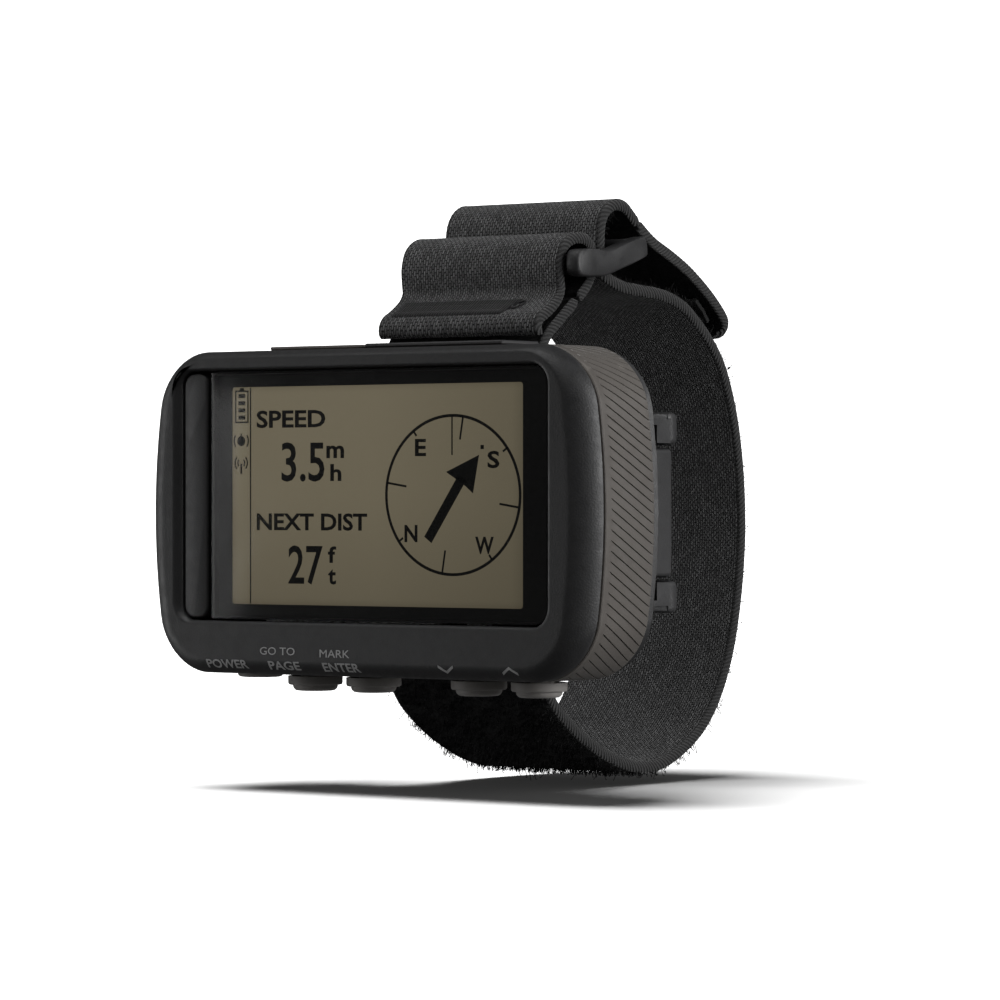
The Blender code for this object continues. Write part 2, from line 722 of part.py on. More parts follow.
def buckle():
    """A flat ring buckle: two side plates, a front bar inside the sewn fold and a rear bar for the free end."""
    plate_outline = [
        (25.3, 30.3), (26.0, 29.7), (31.6, 29.9), (40.0, 32.6), (40.4, 33.2), (40.1, 34.8), (39.5, 35.2),
        (31.9, 33.2), (26.2, 33.0), (25.4, 32.5),
    ]
    inner, outer = STRAP_HALF_WIDTH + 0.5, STRAP_HALF_WIDTH + 2.6
    ring = finish(
        side_plate_mesh(plate_outline, inner, outer), "buckle", dark_plastic(), (0, *BUCKLE_PIVOT)
    )
    thin_outline = [(max(depth, THIN_PLATE_FRONT), height) for depth, height in plate_outline[1:-1]]
    thin_plate = side_plate_mesh(thin_outline, -inner - THIN_PLATE, -inner)
    combine(ring, as_cutter(thin_plate, "buckle_left_plate"), "UNION")
    reach = inner + 1.0
    front_bar = side_plate_mesh(oval(BUCKLE_PIVOT, 1.75, 1.35), -reach, reach)
    combine(ring, as_cutter(front_bar, "buckle_front_bar"), "UNION")
    rear_bar = side_plate_mesh(oval(BACK_BAR, 1.5, 1.05), -reach, reach)
    combine(ring, as_cutter(rear_bar, "buckle_rear_bar"), "UNION")
    return ring


def strap_free_end():
    """The arch over the rear bar, and the tail that peels off the loop with its hook patch."""
    arch_line = [
        (34.35, 30.7), (34.1, 32.3), (34.05, 35.0), (34.4, 37.0), (35.4, 38.4), (37.2, 39.25), (39.2, 39.05),
        (40.7, 38.05), (42.1, 36.95),
    ]
    ribbon("strap_arch", arch_line, FOLD_THICKNESS, webbing(), spacing=1.2)
    tail_line = [
        (42.55, 36.65), (45.7, 34.75), (49.6, 33.2), (53.2, 31.6), (56.2, 29.9), (58.8, 28.0), (60.6, 26.3),
        (61.5, 25.0), (61.6, 24.2),
    ]
    ribbon("strap_tail", tail_line, FOLD_THICKNESS, webbing(), at=(0, *TAIL_HINGE))
    ribbon("hook_patch", [(57.1, 27.75), (58.9, 26.35), (60.0, 25.0)], 0.6, webbing(), 11.0, at=(0, *TAIL_HINGE))


def build():
    global PARTS, CUTTERS
    clear_scene()
    PARTS = new_collection("handheld_gps_unit")
    CUTTERS = new_collection("cutters")
    front_bezel()
    nameplate_strip()
    display_stack()
    mid_frame()
    case_seal("front_seal", BEZEL_BACK + 0.05, 0.5)
    case_seal("rear_seal", FRAME_BACK - 0.55, 0.5)
    rear_cover()
    battery_door()
    door_latch()
    door_seal()
    battery_cells()
    battery_contacts()
    electronics()
    power_button()
    for name, x in RAISED_BUTTONS.items():
        raised_button(name, x)
    top_details()
    screws()
    strap()
    buckle()
    strap_free_end()


build()
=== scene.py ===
"""The looks of the wrist-worn GPS unit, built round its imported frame.

Lengths below are millimetres in the case's own axes: X along the display's long side, Y from the front face
to the wrist, Z up, with the origin at the middle of the front face. place() turns them into world metres.
"""

import json
import math
import random

import bmesh
import bpy
from mathutils import Matrix, Vector

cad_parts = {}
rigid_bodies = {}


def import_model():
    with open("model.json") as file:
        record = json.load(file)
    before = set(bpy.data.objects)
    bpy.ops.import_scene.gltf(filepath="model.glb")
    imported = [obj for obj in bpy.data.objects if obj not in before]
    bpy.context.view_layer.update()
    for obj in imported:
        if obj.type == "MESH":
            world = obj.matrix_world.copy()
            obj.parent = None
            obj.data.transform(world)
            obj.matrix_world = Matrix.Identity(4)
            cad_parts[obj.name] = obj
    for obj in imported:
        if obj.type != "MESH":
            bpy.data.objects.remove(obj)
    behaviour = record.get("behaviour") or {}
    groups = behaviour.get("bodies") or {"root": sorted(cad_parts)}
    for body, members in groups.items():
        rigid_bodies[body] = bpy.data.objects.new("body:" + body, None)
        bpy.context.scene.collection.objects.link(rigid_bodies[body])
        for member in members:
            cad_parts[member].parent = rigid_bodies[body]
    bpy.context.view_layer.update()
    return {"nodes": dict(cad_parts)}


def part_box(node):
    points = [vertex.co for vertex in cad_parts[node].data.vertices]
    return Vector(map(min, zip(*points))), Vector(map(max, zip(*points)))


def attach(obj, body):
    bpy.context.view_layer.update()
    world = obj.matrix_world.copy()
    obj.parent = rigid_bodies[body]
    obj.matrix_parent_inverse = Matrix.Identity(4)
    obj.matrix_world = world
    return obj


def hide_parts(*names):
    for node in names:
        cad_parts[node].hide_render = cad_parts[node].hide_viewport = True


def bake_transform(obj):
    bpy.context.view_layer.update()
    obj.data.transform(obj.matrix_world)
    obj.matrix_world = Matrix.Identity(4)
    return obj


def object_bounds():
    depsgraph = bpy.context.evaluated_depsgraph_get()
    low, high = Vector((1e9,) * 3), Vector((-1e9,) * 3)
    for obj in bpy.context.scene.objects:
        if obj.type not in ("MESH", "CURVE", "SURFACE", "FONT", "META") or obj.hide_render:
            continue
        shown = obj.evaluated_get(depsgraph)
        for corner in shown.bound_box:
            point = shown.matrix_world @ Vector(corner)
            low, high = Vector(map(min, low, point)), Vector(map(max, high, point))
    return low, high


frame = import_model()

MM = 0.001
BEZEL_LOW, BEZEL_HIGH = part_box("front_bezel")
CASE_ORIGIN = Vector((0.0, BEZEL_LOW.y, (BEZEL_LOW.z + BEZEL_HIGH.z) / 2))
RANDOM = random.Random(7)

# ---------------------------------------------------------------- sizes, in millimetres

HALF_WIDTH = (BEZEL_HIGH.x - BEZEL_LOW.x) / 2 / MM
HALF_HEIGHT = (BEZEL_HIGH.z - BEZEL_LOW.z) / 2 / MM
CORNER_RADIUS = 7.5
SIDE_BULGE = 2.2

BEZEL_BACK = 2.75
FRAME_FRONT, FRAME_BACK = 3.05, 13.4
WALL = 1.6

WINDOW = (-28.9, 28.6, -13.6, 17.8)
WINDOW_RADIUS = 1.9
STRIP_RIGHT = -24.7
LENS_LEFT = -24.0
LCD_HALF = (22.8, 13.6)
LCD_CENTRE = (1.33, 2.1)
LCD_DEPTH = 1.56
INK_DEPTH = LCD_DEPTH - 0.03
EDGE_HEIGHT, EDGE_DEPTH, EDGE_POWER = 1.9, 2.0, 1.6

GROOVE_PITCH = 1.25
GROOVE_SLOPE = 0.5
GROOVE_DEPTH = 0.17
GROOVE_HALF = 0.105
GROOVED_FROM = 26.0
GROOVE_MIDDLE = 8.8

BUTTON_DEPTH = 8.7
POWER_X = -22.9
STEM_HOLE_RADIUS = 2.1
RAISED_BUTTONS = {"page": -13.9, "enter": -4.5, "down": 12.0, "up": 21.2}

STRAP_HALF = 12.5
STRAP_THICKNESS = 1.45
FOLD_THICKNESS = 1.4
STRAP_STEP = 0.35
LAY_PITCH = 0.72
PILE_COUNT = 7500
PILE_STEPS = 5

HEM_START, HEM_END = 6.3, 2.3
HEM_LEFT, HEM_RIGHT, HEM_TAPER = -11.9, 8.4, 1.9


def place(x, y, z):
    """A point of the case's own axes, in metres."""
    return CASE_ORIGIN + Vector((x, y, z)) * MM


# ---------------------------------------------------------------- materials

MATERIALS = {}


def new_material(name):
    made = bpy.data.materials.new(name)
    made.use_nodes = True
    MATERIALS[name] = made
    return made.node_tree, made.node_tree.nodes["Principled BSDF"]


def set_inputs(made, **values):
    """Fills a node's inputs, named with an underscore for each space; a colour is (r, g, b)."""
    for key, value in values.items():
        socket = made.inputs[key.replace("_", " ")]
        socket.default_value = (*value, 1) if socket.type == "RGBA" else value


def node(tree, kind, **settings):
    """Adds a node; each setting is one of its inputs, or else a property of it."""
    made = tree.nodes.new(kind)
    for key, value in settings.items():
        if key.replace("_", " ") in made.inputs:
            set_inputs(made, **{key: value})
        else:
            setattr(made, key, value)
    return made


def coordinates(tree, kind="Object"):
    return tree.nodes.new("ShaderNodeTexCoord").outputs[kind]


def ramp(tree, source, stops):
    """A colour ramp: stops are (position, grey or (r, g, b))."""
    made = tree.nodes.new("ShaderNodeValToRGB")
    elements = made.color_ramp.elements
    while len(elements) < len(stops):
        elements.new(0.5)
    for element, (position, colour) in zip(elements, stops):
        element.position = position
        tone = (colour, colour, colour) if isinstance(colour, (int, float)) else colour
        element.color = (*tone, 1.0)
    tree.links.new(source, made.inputs["Fac"])
    return made.outputs["Color"]


def noise(tree, scale, detail=2.0, roughness=0.5, vector=None):
    made = node(tree, "ShaderNodeTexNoise", Scale=scale, Detail=detail, Roughness=roughness)
    tree.links.new(coordinates(tree) if vector is None else vector, made.inputs["Vector"])
    return made.outputs["Fac"]


def bump(tree, height, strength, distance, after=None):
    """A bump on top of another one; gives the bent normal."""
    made = node(tree, "ShaderNodeBump", Strength=strength, Distance=distance)
    tree.links.new(height, made.inputs["Height"])
    if after is not None:
        tree.links.new(after, made.inputs["Normal"])
    return made.outputs["Normal"]


def connect(tree, shader, **sources):
    """Links sockets to a shader's inputs, named with an underscore for each space."""
    for key, source in sources.items():
        tree.links.new(source, shader.inputs[key.replace("_", " ")])


def worn_edges(tree, strength):
    """0 on flats and rising on outer edges, from the mesh's own sharpness."""
    geometry = tree.nodes.new("ShaderNodeNewGeometry")
    return ramp(tree, geometry.outputs["Pointiness"], [(0.52, 0.0), (0.6, strength)])


def mixed(tree, factor, first, second, blend="MIX"):
    """A colour mixed between two; each is an (r, g, b) or a socket."""
    made = tree.nodes.new("ShaderNodeMix")
    made.data_type = "RGBA"
    made.blend_type = blend
    for key, value in (("Factor", factor), ("A", first), ("B", second)):
        slot = [s for s in made.inputs if s.name == key and s.enabled][0]
        if isinstance(value, bpy.types.NodeSocket):
            tree.links.new(value, slot)
        elif isinstance(value, (int, float)):
            slot.default_value = value
        else:
            slot.default_value = (*value, 1.0)
    return [s for s in made.outputs if s.enabled][0]


def scaled(colour, factor):
    return tuple(c * factor for c in colour)


def moulded_plastic(name, colour, light, roughness, grain=0.5, edge=0.5):
    """Spark-eroded moulded plastic: a fine pebbled grain, faint cloudy colour and rubbed edges."""
    tree, shader = new_material(name)
    cloud = ramp(tree, noise(tree, 60, 3), [(0.35, 0.0), (0.7, 1.0)])
    base = mixed(tree, cloud, colour, light)
    rubbed = tuple(min(1.0, c * 1.9 + 0.01) for c in light)
    rough = ramp(tree, noise(tree, 900, 2), [(0.3, roughness - 0.05), (0.7, roughness + 0.07)])
    pebble = node(tree, "ShaderNodeTexVoronoi", Scale=4200)
    tree.links.new(coordinates(tree), pebble.inputs["Vector"])
    set_inputs(shader, Specular_IOR_Level=0.4)
    connect(tree, shader, Base_Color=mixed(tree, worn_edges(tree, edge), base, rubbed), Roughness=rough,
            Normal=bump(tree, pebble.outputs["Distance"], grain, 0.00003))


def speckled(name, colours, grain, relief=None, stop=0.7, **settings):
    """Two tones of noise; relief is a finer noise raised over them, with its strength and distance."""
    tree, shader = new_material(name)
    base = ramp(tree, noise(tree, *grain), [(0.3, colours[0]), (stop, colours[1])])
    set_inputs(shader, **settings)
    connect(tree, shader, Base_Color=base)
    if relief:
        finer, strength, distance = relief
        connect(tree, shader, Normal=bump(tree, noise(tree, *finer), strength, distance))


def rubber_material(name, colour):
    speckled(name, (colour, scaled(colour, 1.25)), (300, 4, 0.6), ((2500, 2), 0.25, 0.00003), 0.75,
             Roughness=0.7, Sheen_Weight=0.15)


def metal_material(name, colour):
    """Plated metal, brushed one way."""
    tree, shader = new_material(name)
    base = ramp(tree, noise(tree, 200, 3), [(0.3, colour), (0.8, scaled(colour, 0.8))])
    brushed = node(tree, "ShaderNodeMapping", Scale=(1.0, 1.0, 18.0))
    tree.links.new(coordinates(tree), brushed.inputs["Vector"])
    lines = noise(tree, 900, 2, vector=brushed.outputs["Vector"])
    set_inputs(shader, Metallic=1.0)
    connect(tree, shader, Base_Color=base, Roughness=ramp(tree, lines, [(0.3, 0.22), (0.7, 0.42)]),
            Normal=bump(tree, lines, 0.12, 0.00002))


def board_material():
    """Solder mask with the routed copper just showing through it."""
    tree, shader = new_material("circuit_board")
    tracks = node(tree, "ShaderNodeTexBrick", Scale=1100, Mortar_Size=0.05, Color1=(0.012, 0.075, 0.03),
                  Color2=(0.018, 0.11, 0.045), Mortar=(0.03, 0.16, 0.07))
    tree.links.new(coordinates(tree), tracks.inputs["Vector"])
    set_inputs(shader, Roughness=0.35)
    connect(tree, shader, Base_Color=tracks.outputs["Color"],
            Normal=bump(tree, tracks.outputs["Fac"], 0.3, 0.00003))


def cell_material():
    """A plain two-tone sleeve, darker towards one end."""
    tree, shader = new_material("cell_sleeve")
    split = tree.nodes.new("ShaderNodeSeparateXYZ")
    tree.links.new(coordinates(tree, "Generated"), split.inputs["Vector"])
    tone = ramp(tree, split.outputs["X"], [(0.7, (0.035, 0.037, 0.045)), (0.71, (0.33, 0.2, 0.08))])
    set_inputs(shader, Metallic=0.4, Roughness=0.32)
    connect(tree, shader, Base_Color=tone, Normal=bump(tree, noise(tree, 800, 2), 0.1, 0.00003))


def lens_material():
    """Clear hard-coated plastic: it only adds its own reflection to what is behind it."""
    tree, shader = new_material("lens")
    clear = tree.nodes.new("ShaderNodeBsdfTransparent")
    gloss = tree.nodes.new("ShaderNodeBsdfGlossy")
    smear = ramp(tree, noise(tree, 90, 4, 0.6), [(0.35, 0.1), (0.75, 0.2)])
    tree.links.new(smear, gloss.inputs["Roughness"])
    fresnel = node(tree, "ShaderNodeFresnel", IOR=1.28)
    mix = tree.nodes.new("ShaderNodeMixShader")
    for number, source in enumerate((fresnel.outputs["Fac"], clear.outputs["BSDF"], gloss.outputs["BSDF"])):
        tree.links.new(source, mix.inputs[number])
    tree.links.new(mix.outputs["Shader"], tree.nodes["Material Output"].inputs["Surface"])
    tree.nodes.remove(shader)


def lcd_painted_glow_material():
    """The olive face of the display, given a painted glow: fine pixel rows, with painted shade darkening it
    towards its edges and its lower right.
    """
    tree, shader = new_material("display")
    split = tree.nodes.new("ShaderNodeSeparateXYZ")
    tree.links.new(coordinates(tree, "UV"), split.inputs["Vector"])
    # Painted shade: these two ramps darken the face towards its edges, and most towards its lower right.
    across = ramp(tree, split.outputs["X"], [(0.0, 0.55), (0.03, 1.0), (0.5, 1.0), (0.95, 0.72), (1.0, 0.45)])
    upward = ramp(tree, split.outputs["Y"], [(0.0, 0.4), (0.05, 0.72), (0.5, 0.96), (0.95, 1.0), (1.0, 0.65)])
    shade = node(tree, "ShaderNodeMath", operation="MULTIPLY")
    tree.links.new(across, shade.inputs[0])
    tree.links.new(upward, shade.inputs[1])
    pixels = node(tree, "ShaderNodeTexChecker", Scale=320, Color1=(1, 1, 1), Color2=(0.93, 0.93, 0.93))
    tree.links.new(coordinates(tree, "UV"), pixels.inputs["Vector"])
    # Painted glow: the face emits this tone, with the painted shade in it, in place of lamp light falling on
    # it.
    tone = mixed(tree, shade.outputs["Value"], (0.028, 0.023, 0.014), (0.165, 0.143, 0.096))
    set_inputs(shader, Emission_Strength=0.85, Base_Color=(0.05, 0.045, 0.03), Roughness=0.6,
               Specular_IOR_Level=0.1)
    connect(tree, shader, Emission_Color=mixed(tree, 1.0, tone, pixels.outputs["Color"], "MULTIPLY"))


def ink_material(name, colour, roughness):
    speckled(name, (colour, scaled(colour, 1.3)), (1800, 2), Roughness=roughness, Specular_IOR_Level=0.2)


def webbing_material(name, dark, light, stitch, relief=1.0):
    """Knitted elastic webbing: short ribs in staggered rows, drawn in the strap's own length and width."""
    tree, shader = new_material(name)
    flat = coordinates(tree, "UV")
    wobble = node(tree, "ShaderNodeTexNoise", Scale=0.9)
    tree.links.new(flat, wobble.inputs["Vector"])
    shift = node(tree, "ShaderNodeVectorMath", operation="MULTIPLY_ADD")
    tree.links.new(wobble.outputs["Color"], shift.inputs[0])
    shift.inputs[1].default_value = (0.35, 0.35, 0.0)
    tree.links.new(flat, shift.inputs[2])
    row, width = stitch
    ribs = node(tree, "ShaderNodeTexBrick", offset=0.5, Scale=1.0, Brick_Width=width, Row_Height=row,
                Mortar_Size=0.13, Mortar_Smooth=1.0, Color1=(1, 1, 1), Color2=(0.4, 0.4, 0.4),
                Mortar=(0, 0, 0))
    tree.links.new(shift.outputs["Vector"], ribs.inputs["Vector"])
    patch = ramp(tree, noise(tree, 420, 3), [(0.3, 0.85), (0.7, 1.1)])
    tone = mixed(tree, ribs.outputs["Color"], dark, light)
    fine = bump(tree, noise(tree, 3800, 3, 0.7), 0.25, 0.0001)
    set_inputs(shader, Roughness=0.85, Sheen_Weight=0.12, Sheen_Roughness=0.5, Specular_IOR_Level=0.25)
    connect(tree, shader, Base_Color=mixed(tree, 1.0, tone, patch, "MULTIPLY"),
            Normal=bump(tree, ribs.outputs["Color"], relief, 0.00025, fine))


def rope_material():
    """The bound edge of the strap: slanting lays of thread."""
    tree, shader = new_material("selvedge")
    slant = node(tree, "ShaderNodeMapping", Rotation=(0, 0, math.radians(38)))
    tree.links.new(coordinates(tree, "UV"), slant.inputs["Vector"])
    lays = node(tree, "ShaderNodeTexWave", Scale=0.66, Distortion=2.0, Detail=2.0)
    tree.links.new(slant.outputs["Vector"], lays.inputs["Vector"])
    tone = ramp(tree, lays.outputs["Fac"], [(0.2, (0.0015, 0.0015, 0.0016)), (0.8, (0.02, 0.02, 0.0203))])
    fine = bump(tree, noise(tree, 3500, 3, 0.7), 0.4, 0.0001)
    set_inputs(shader, Roughness=0.85, Sheen_Weight=0.08)
    connect(tree, shader, Base_Color=tone, Normal=bump(tree, lays.outputs["Fac"], 0.9, 0.0002, fine))


moulded_plastic("case_plastic", (0.0125, 0.0125, 0.0132), (0.0165, 0.0165, 0.0172), 0.5)
moulded_plastic("frame_bronze", (0.072, 0.065, 0.059), (0.086, 0.079, 0.072), 0.42, grain=0.3, edge=0.35)
moulded_plastic("inner_plastic", (0.006, 0.006, 0.006), (0.01, 0.01, 0.01), 0.55)
moulded_plastic("light_guide_plastic", (0.5, 0.5, 0.48), (0.6, 0.6, 0.58), 0.3)
rubber_material("button_rubber", (0.175, 0.166, 0.158))
rubber_material("seal_rubber", (0.014, 0.014, 0.014))
metal_material("plated_metal", (0.58, 0.58, 0.6))
board_material()
speckled("antenna_ceramic", ((0.5, 0.45, 0.36), (0.68, 0.63, 0.54)), (1500, 4, 0.7),
         ((3000, 2), 0.2, 0.00002), Roughness=0.6)
cell_material()
lens_material()
lcd_painted_glow_material()
webbing_material("webbing", (0.0006, 0.0006, 0.0007), (0.175, 0.175, 0.177), (0.37, 0.68))
webbing_material("thread", (0.003, 0.003, 0.003), (0.014, 0.014, 0.0145), (0.4, 2.0), 0.5)
webbing_material("hook_tape", (0.001, 0.001, 0.001), (0.005, 0.005, 0.005), (0.5, 0.5))
rope_material()
speckled("pile", ((0.006, 0.006, 0.0061), (0.024, 0.024, 0.0243)), (2500, 3),
         ((4000, 4, 0.8), 1.0, 0.0002), 0.75, Roughness=0.9, Specular_IOR_Level=0.1)
ink_material("border", (0.0018, 0.0018, 0.002), 0.45)
ink_material("lcd_ink", (0.006, 0.006, 0.005), 0.8)
ink_material("legend", (0.31, 0.31, 0.31), 0.6)


# ---------------------------------------------------------------- shapes

def new_object(name, data):
    made = bpy.data.objects.new(name, data)
    bpy.context.scene.collection.objects.link(made)
    return made


def settled(made, name):
    """An object in world metres from a bmesh drawn in millimetres."""
    bmesh.ops.recalc_face_normals(made, faces=made.faces)
    for vertex in made.verts:
        vertex.co = place(*vertex.co)
    mesh = bpy.data.meshes.new(name)
    made.to_mesh(mesh)
    made.free()
    return new_object(name, mesh)


def finish(made, name, slot, body, replaced=(), smooth=35.0, materials=None):
    """Turns a bmesh drawn in millimetres into an object that rides on a body."""
    shaped = settled(made, name)
    mesh = shaped.data
    for used in materials or [slot]:
        mesh.materials.append(MATERIALS[used])
    for polygon in mesh.polygons:
        polygon.use_smooth = True
    mesh.set_sharp_from_angle(angle=math.radians(smooth))
    if body:
        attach(shaped, body)
    if replaced:
        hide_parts(*replaced)
    return shaped


def join_rings(made, rings, closed=False):
    """Quads between neighbouring rings; the ends are capped, or joined to each other when closed."""
    rows = [[made.verts.new(point) for point in ring] for ring in rings]
    count = len(rows[0])
    pairs = list(zip(rows, rows[1:]))
    if closed:
        pairs.append((rows[-1], rows[0]))
    for first, second in pairs:
        for step in range(count):
            after = (step + 1) % count
            made.faces.new((first[step], first[after], second[after], second[step]))
    if not closed:
        made.faces.new(rows[0][::-1])
        made.faces.new(rows[-1])
    return rows


def rounded(extent, radius, bulge=0.0, corner_steps=14, side_steps=(24, 12)):
    """(x, z) points round a rounded rectangle, its left and right sides swelling by bulge at mid-height."""
    left, right, bottom, top = extent
    corners = [
        (right - radius, bottom + radius, -90),
        (right - radius, top - radius, 0),
        (left + radius, top - radius, 90),
        (left + radius, bottom + radius, 180),
    ]
    flat = []
    for number, (x, z, start) in enumerate(corners):
        for step in range(corner_steps):
            angle = math.radians(start + 90 * step / (corner_steps - 1))
            flat.append((x + radius * math.cos(angle), z + radius * math.sin(angle)))
        next_x, next_z, next_start = corners[(number + 1) % 4]
        begin = flat[-1]
        angle = math.radians(next_start)
        end = (next_x + radius * math.cos(angle), next_z + radius * math.sin(angle))
        steps = side_steps[(number + 1) % 2]
        for step in range(1, steps + 1):
            share = step / (steps + 1)
            flat.append((begin[0] + (end[0] - begin[0]) * share, begin[1] + (end[1] - begin[1]) * share))
    half = max(abs(left), abs(right))
    return [(x * (1 - bulge / half * (z / HALF_HEIGHT) ** 2), z) for x, z in flat]


def ring_at(depth, flat):
    """(x, z) points stood up at a depth."""
    return [(x, depth, z) for x, z in flat]


def case_ring(depth, width=0.0, top=0.0, bottom=0.0, radius=CORNER_RADIUS):
    extent = (-HALF_WIDTH + width, HALF_WIDTH - width, -HALF_HEIGHT + bottom, HALF_HEIGHT - top)
    return ring_at(depth, rounded(extent, radius, SIDE_BULGE))


def edge_drop(share):
    """How far a rounded edge has fallen back, from 1 at its front to 0 where it meets the side."""
    if share <= 0:
        return 0.0
    return 1 - (1 - share ** EDGE_POWER) ** (1 / EDGE_POWER)


def resampled(points, spacing, closed=False):
    """Points at even steps along a smooth curve through the given ones."""
    count = len(points)
    last = count if closed else count - 1
    fine = []
    for number in range(last):
        near = [points[(number + k) % count] if closed else points[min(max(number + k, 0), count - 1)]
                for k in (-1, 0, 1, 2)]
        for step in range(24):
            t = step / 24
            weights = (
                -0.5 * t ** 3 + t ** 2 - 0.5 * t,
                1.5 * t ** 3 - 2.5 * t ** 2 + 1,
                -1.5 * t ** 3 + 2 * t ** 2 + 0.5 * t,
                0.5 * t ** 3 - 0.5 * t ** 2,
            )
            fine.append(sum((Vector(p) * w for p, w in zip(near, weights)), Vector((0,) * len(points[0]))))
    fine.append(Vector(points[0] if closed else points[-1]))
    lengths = [0.0]
    for first, second in zip(fine, fine[1:]):
        lengths.append(lengths[-1] + (second - first).length)
    steps = max(2, round(lengths[-1] / spacing))
    even, at = [], 0
    for step in range(steps + 1):
        wanted = lengths[-1] * step / steps
        while at < len(lengths) - 2 and lengths[at + 1] < wanted:
            at += 1
        share = (wanted - lengths[at]) / max(lengths[at + 1] - lengths[at], 1e-9)
        even.append(fine[at].lerp(fine[at + 1], min(share, 1.0)))
    return even, lengths[-1]


def carve(shaped, cutter_mesh):
    """Cuts a bmesh drawn in millimetres out of an object."""
    cutter = settled(cutter_mesh, "cutter")
    cut = shaped.modifiers.new("cut", "BOOLEAN")
    cut.object = cutter
    cut.operation = "DIFFERENCE"
    cut.solver = "EXACT"
    bpy.context.view_layer.update()
    result = bpy.data.meshes.new_from_object(shaped.evaluated_get(bpy.context.evaluated_depsgraph_get()))
    shaped.modifiers.clear()
    shaped.data = result
    bpy.data.objects.remove(cutter)


def box_mesh(low, high):
    """A box between two corners."""
    made = bmesh.new()
    join_rings(made, [
        [(low[0], low[1], z), (high[0], low[1], z), (high[0], high[1], z), (low[0], high[1], z)]
        for z in (low[2], high[2])
    ])
    return made


def circle(x, y, radius, sides, high=None):
    """(x, y) points round a circle, or round an oval when its second radius is given."""
    high = radius if high is None else high
    angles = [2 * math.pi * k / sides for k in range(sides)]
    return [(x + radius * math.cos(a), y + high * math.sin(a)) for a in angles]


def turned_rings(profile, x, y):
    """Rings about an upright axis through (x, y); profile holds (radius, height)."""
    return [[(*spot, z) for spot in circle(x, y, radius, 48)] for radius, z in profile]


def soft_profile(profile, radius, steps=4):
    """The same (radius, height) line with its inner corners rounded off."""
    made = [profile[0]]
    for before, here, after in zip(profile, profile[1:], profile[2:]):
        here_at = Vector(here)
        back, ahead = Vector(before) - here_at, Vector(after) - here_at
        reach = min(radius, back.length * 0.45, ahead.length * 0.45)
        start, end = here_at + back.normalized() * reach, here_at + ahead.normalized() * reach
        for step in range(steps + 1):
            t = step / steps
            made.append(tuple(start * (1 - t) ** 2 + here_at * 2 * t * (1 - t) + end * t ** 2))
    made.append(profile[-1])
    return made


# ---------------------------------------------------------------- the case

def front_bezel():
    """The front shell: a wide rounded rim, its back edge and the soft-edged window."""
    made = bmesh.new()
    rings = [case_ring(0.0, 3.75, 1.3, 2.25, CORNER_RADIUS - 2.6)]
    for step in range(17):
        depth = BEZEL_BACK * (step / 16) ** 1.7
        side = edge_drop(1 - depth / 3.3)
        edge = edge_drop(1 - depth / EDGE_DEPTH)
        rings.append(case_ring(depth, 3.4 * side, 1.0 * edge, EDGE_HEIGHT * edge, CORNER_RADIUS - 2.3 * side))
    rings.append(case_ring(BEZEL_BACK, WALL, WALL, WALL, CORNER_RADIUS - WALL))
    rings.append(case_ring(2.2, WALL + 0.4, WALL + 0.4, WALL + 0.4, CORNER_RADIUS - WALL - 0.4))
    left, right, bottom, top = WINDOW
    for depth, out, left_out in (
        (2.0, 0, 0), (0.55, 0, 0), (0.4, 0.05, 0.12), (0.12, 0.22, 0.85), (0.0, 0.4, 1.1), (0.0, 0.65, 1.35),
    ):
        extent = (left - left_out, right + out, bottom - out, top + out)
        rings.append(ring_at(depth, rounded(extent, WINDOW_RADIUS + max(out, left_out) * 0.9)))
    join_rings(made, rings, closed=True)
    return finish(made, "front_shell", "case_plastic", "case", ["front_bezel"], smooth=40)


def nameplate():
    """A blank strip, sunk a little and soft at its edges."""
    left, _, bottom, top = WINDOW
    made = bmesh.new()
    rings = []
    for depth, inset in ((1.9, 0), (0.85, 0), (0.68, 0.04), (0.56, 0.14), (0.5, 0.3)):
        extent = (left + 0.3 + inset, STRIP_RIGHT - inset, bottom + 0.3 + inset, top - 0.3 - inset)
        rings.append(ring_at(depth, rounded(extent, 1.5 - inset * 0.5, side_steps=(4, 12))))
    join_rings(made, rings)
    return finish(made, "nameplate", "case_plastic", "case", ["nameplate_strip"], smooth=50)


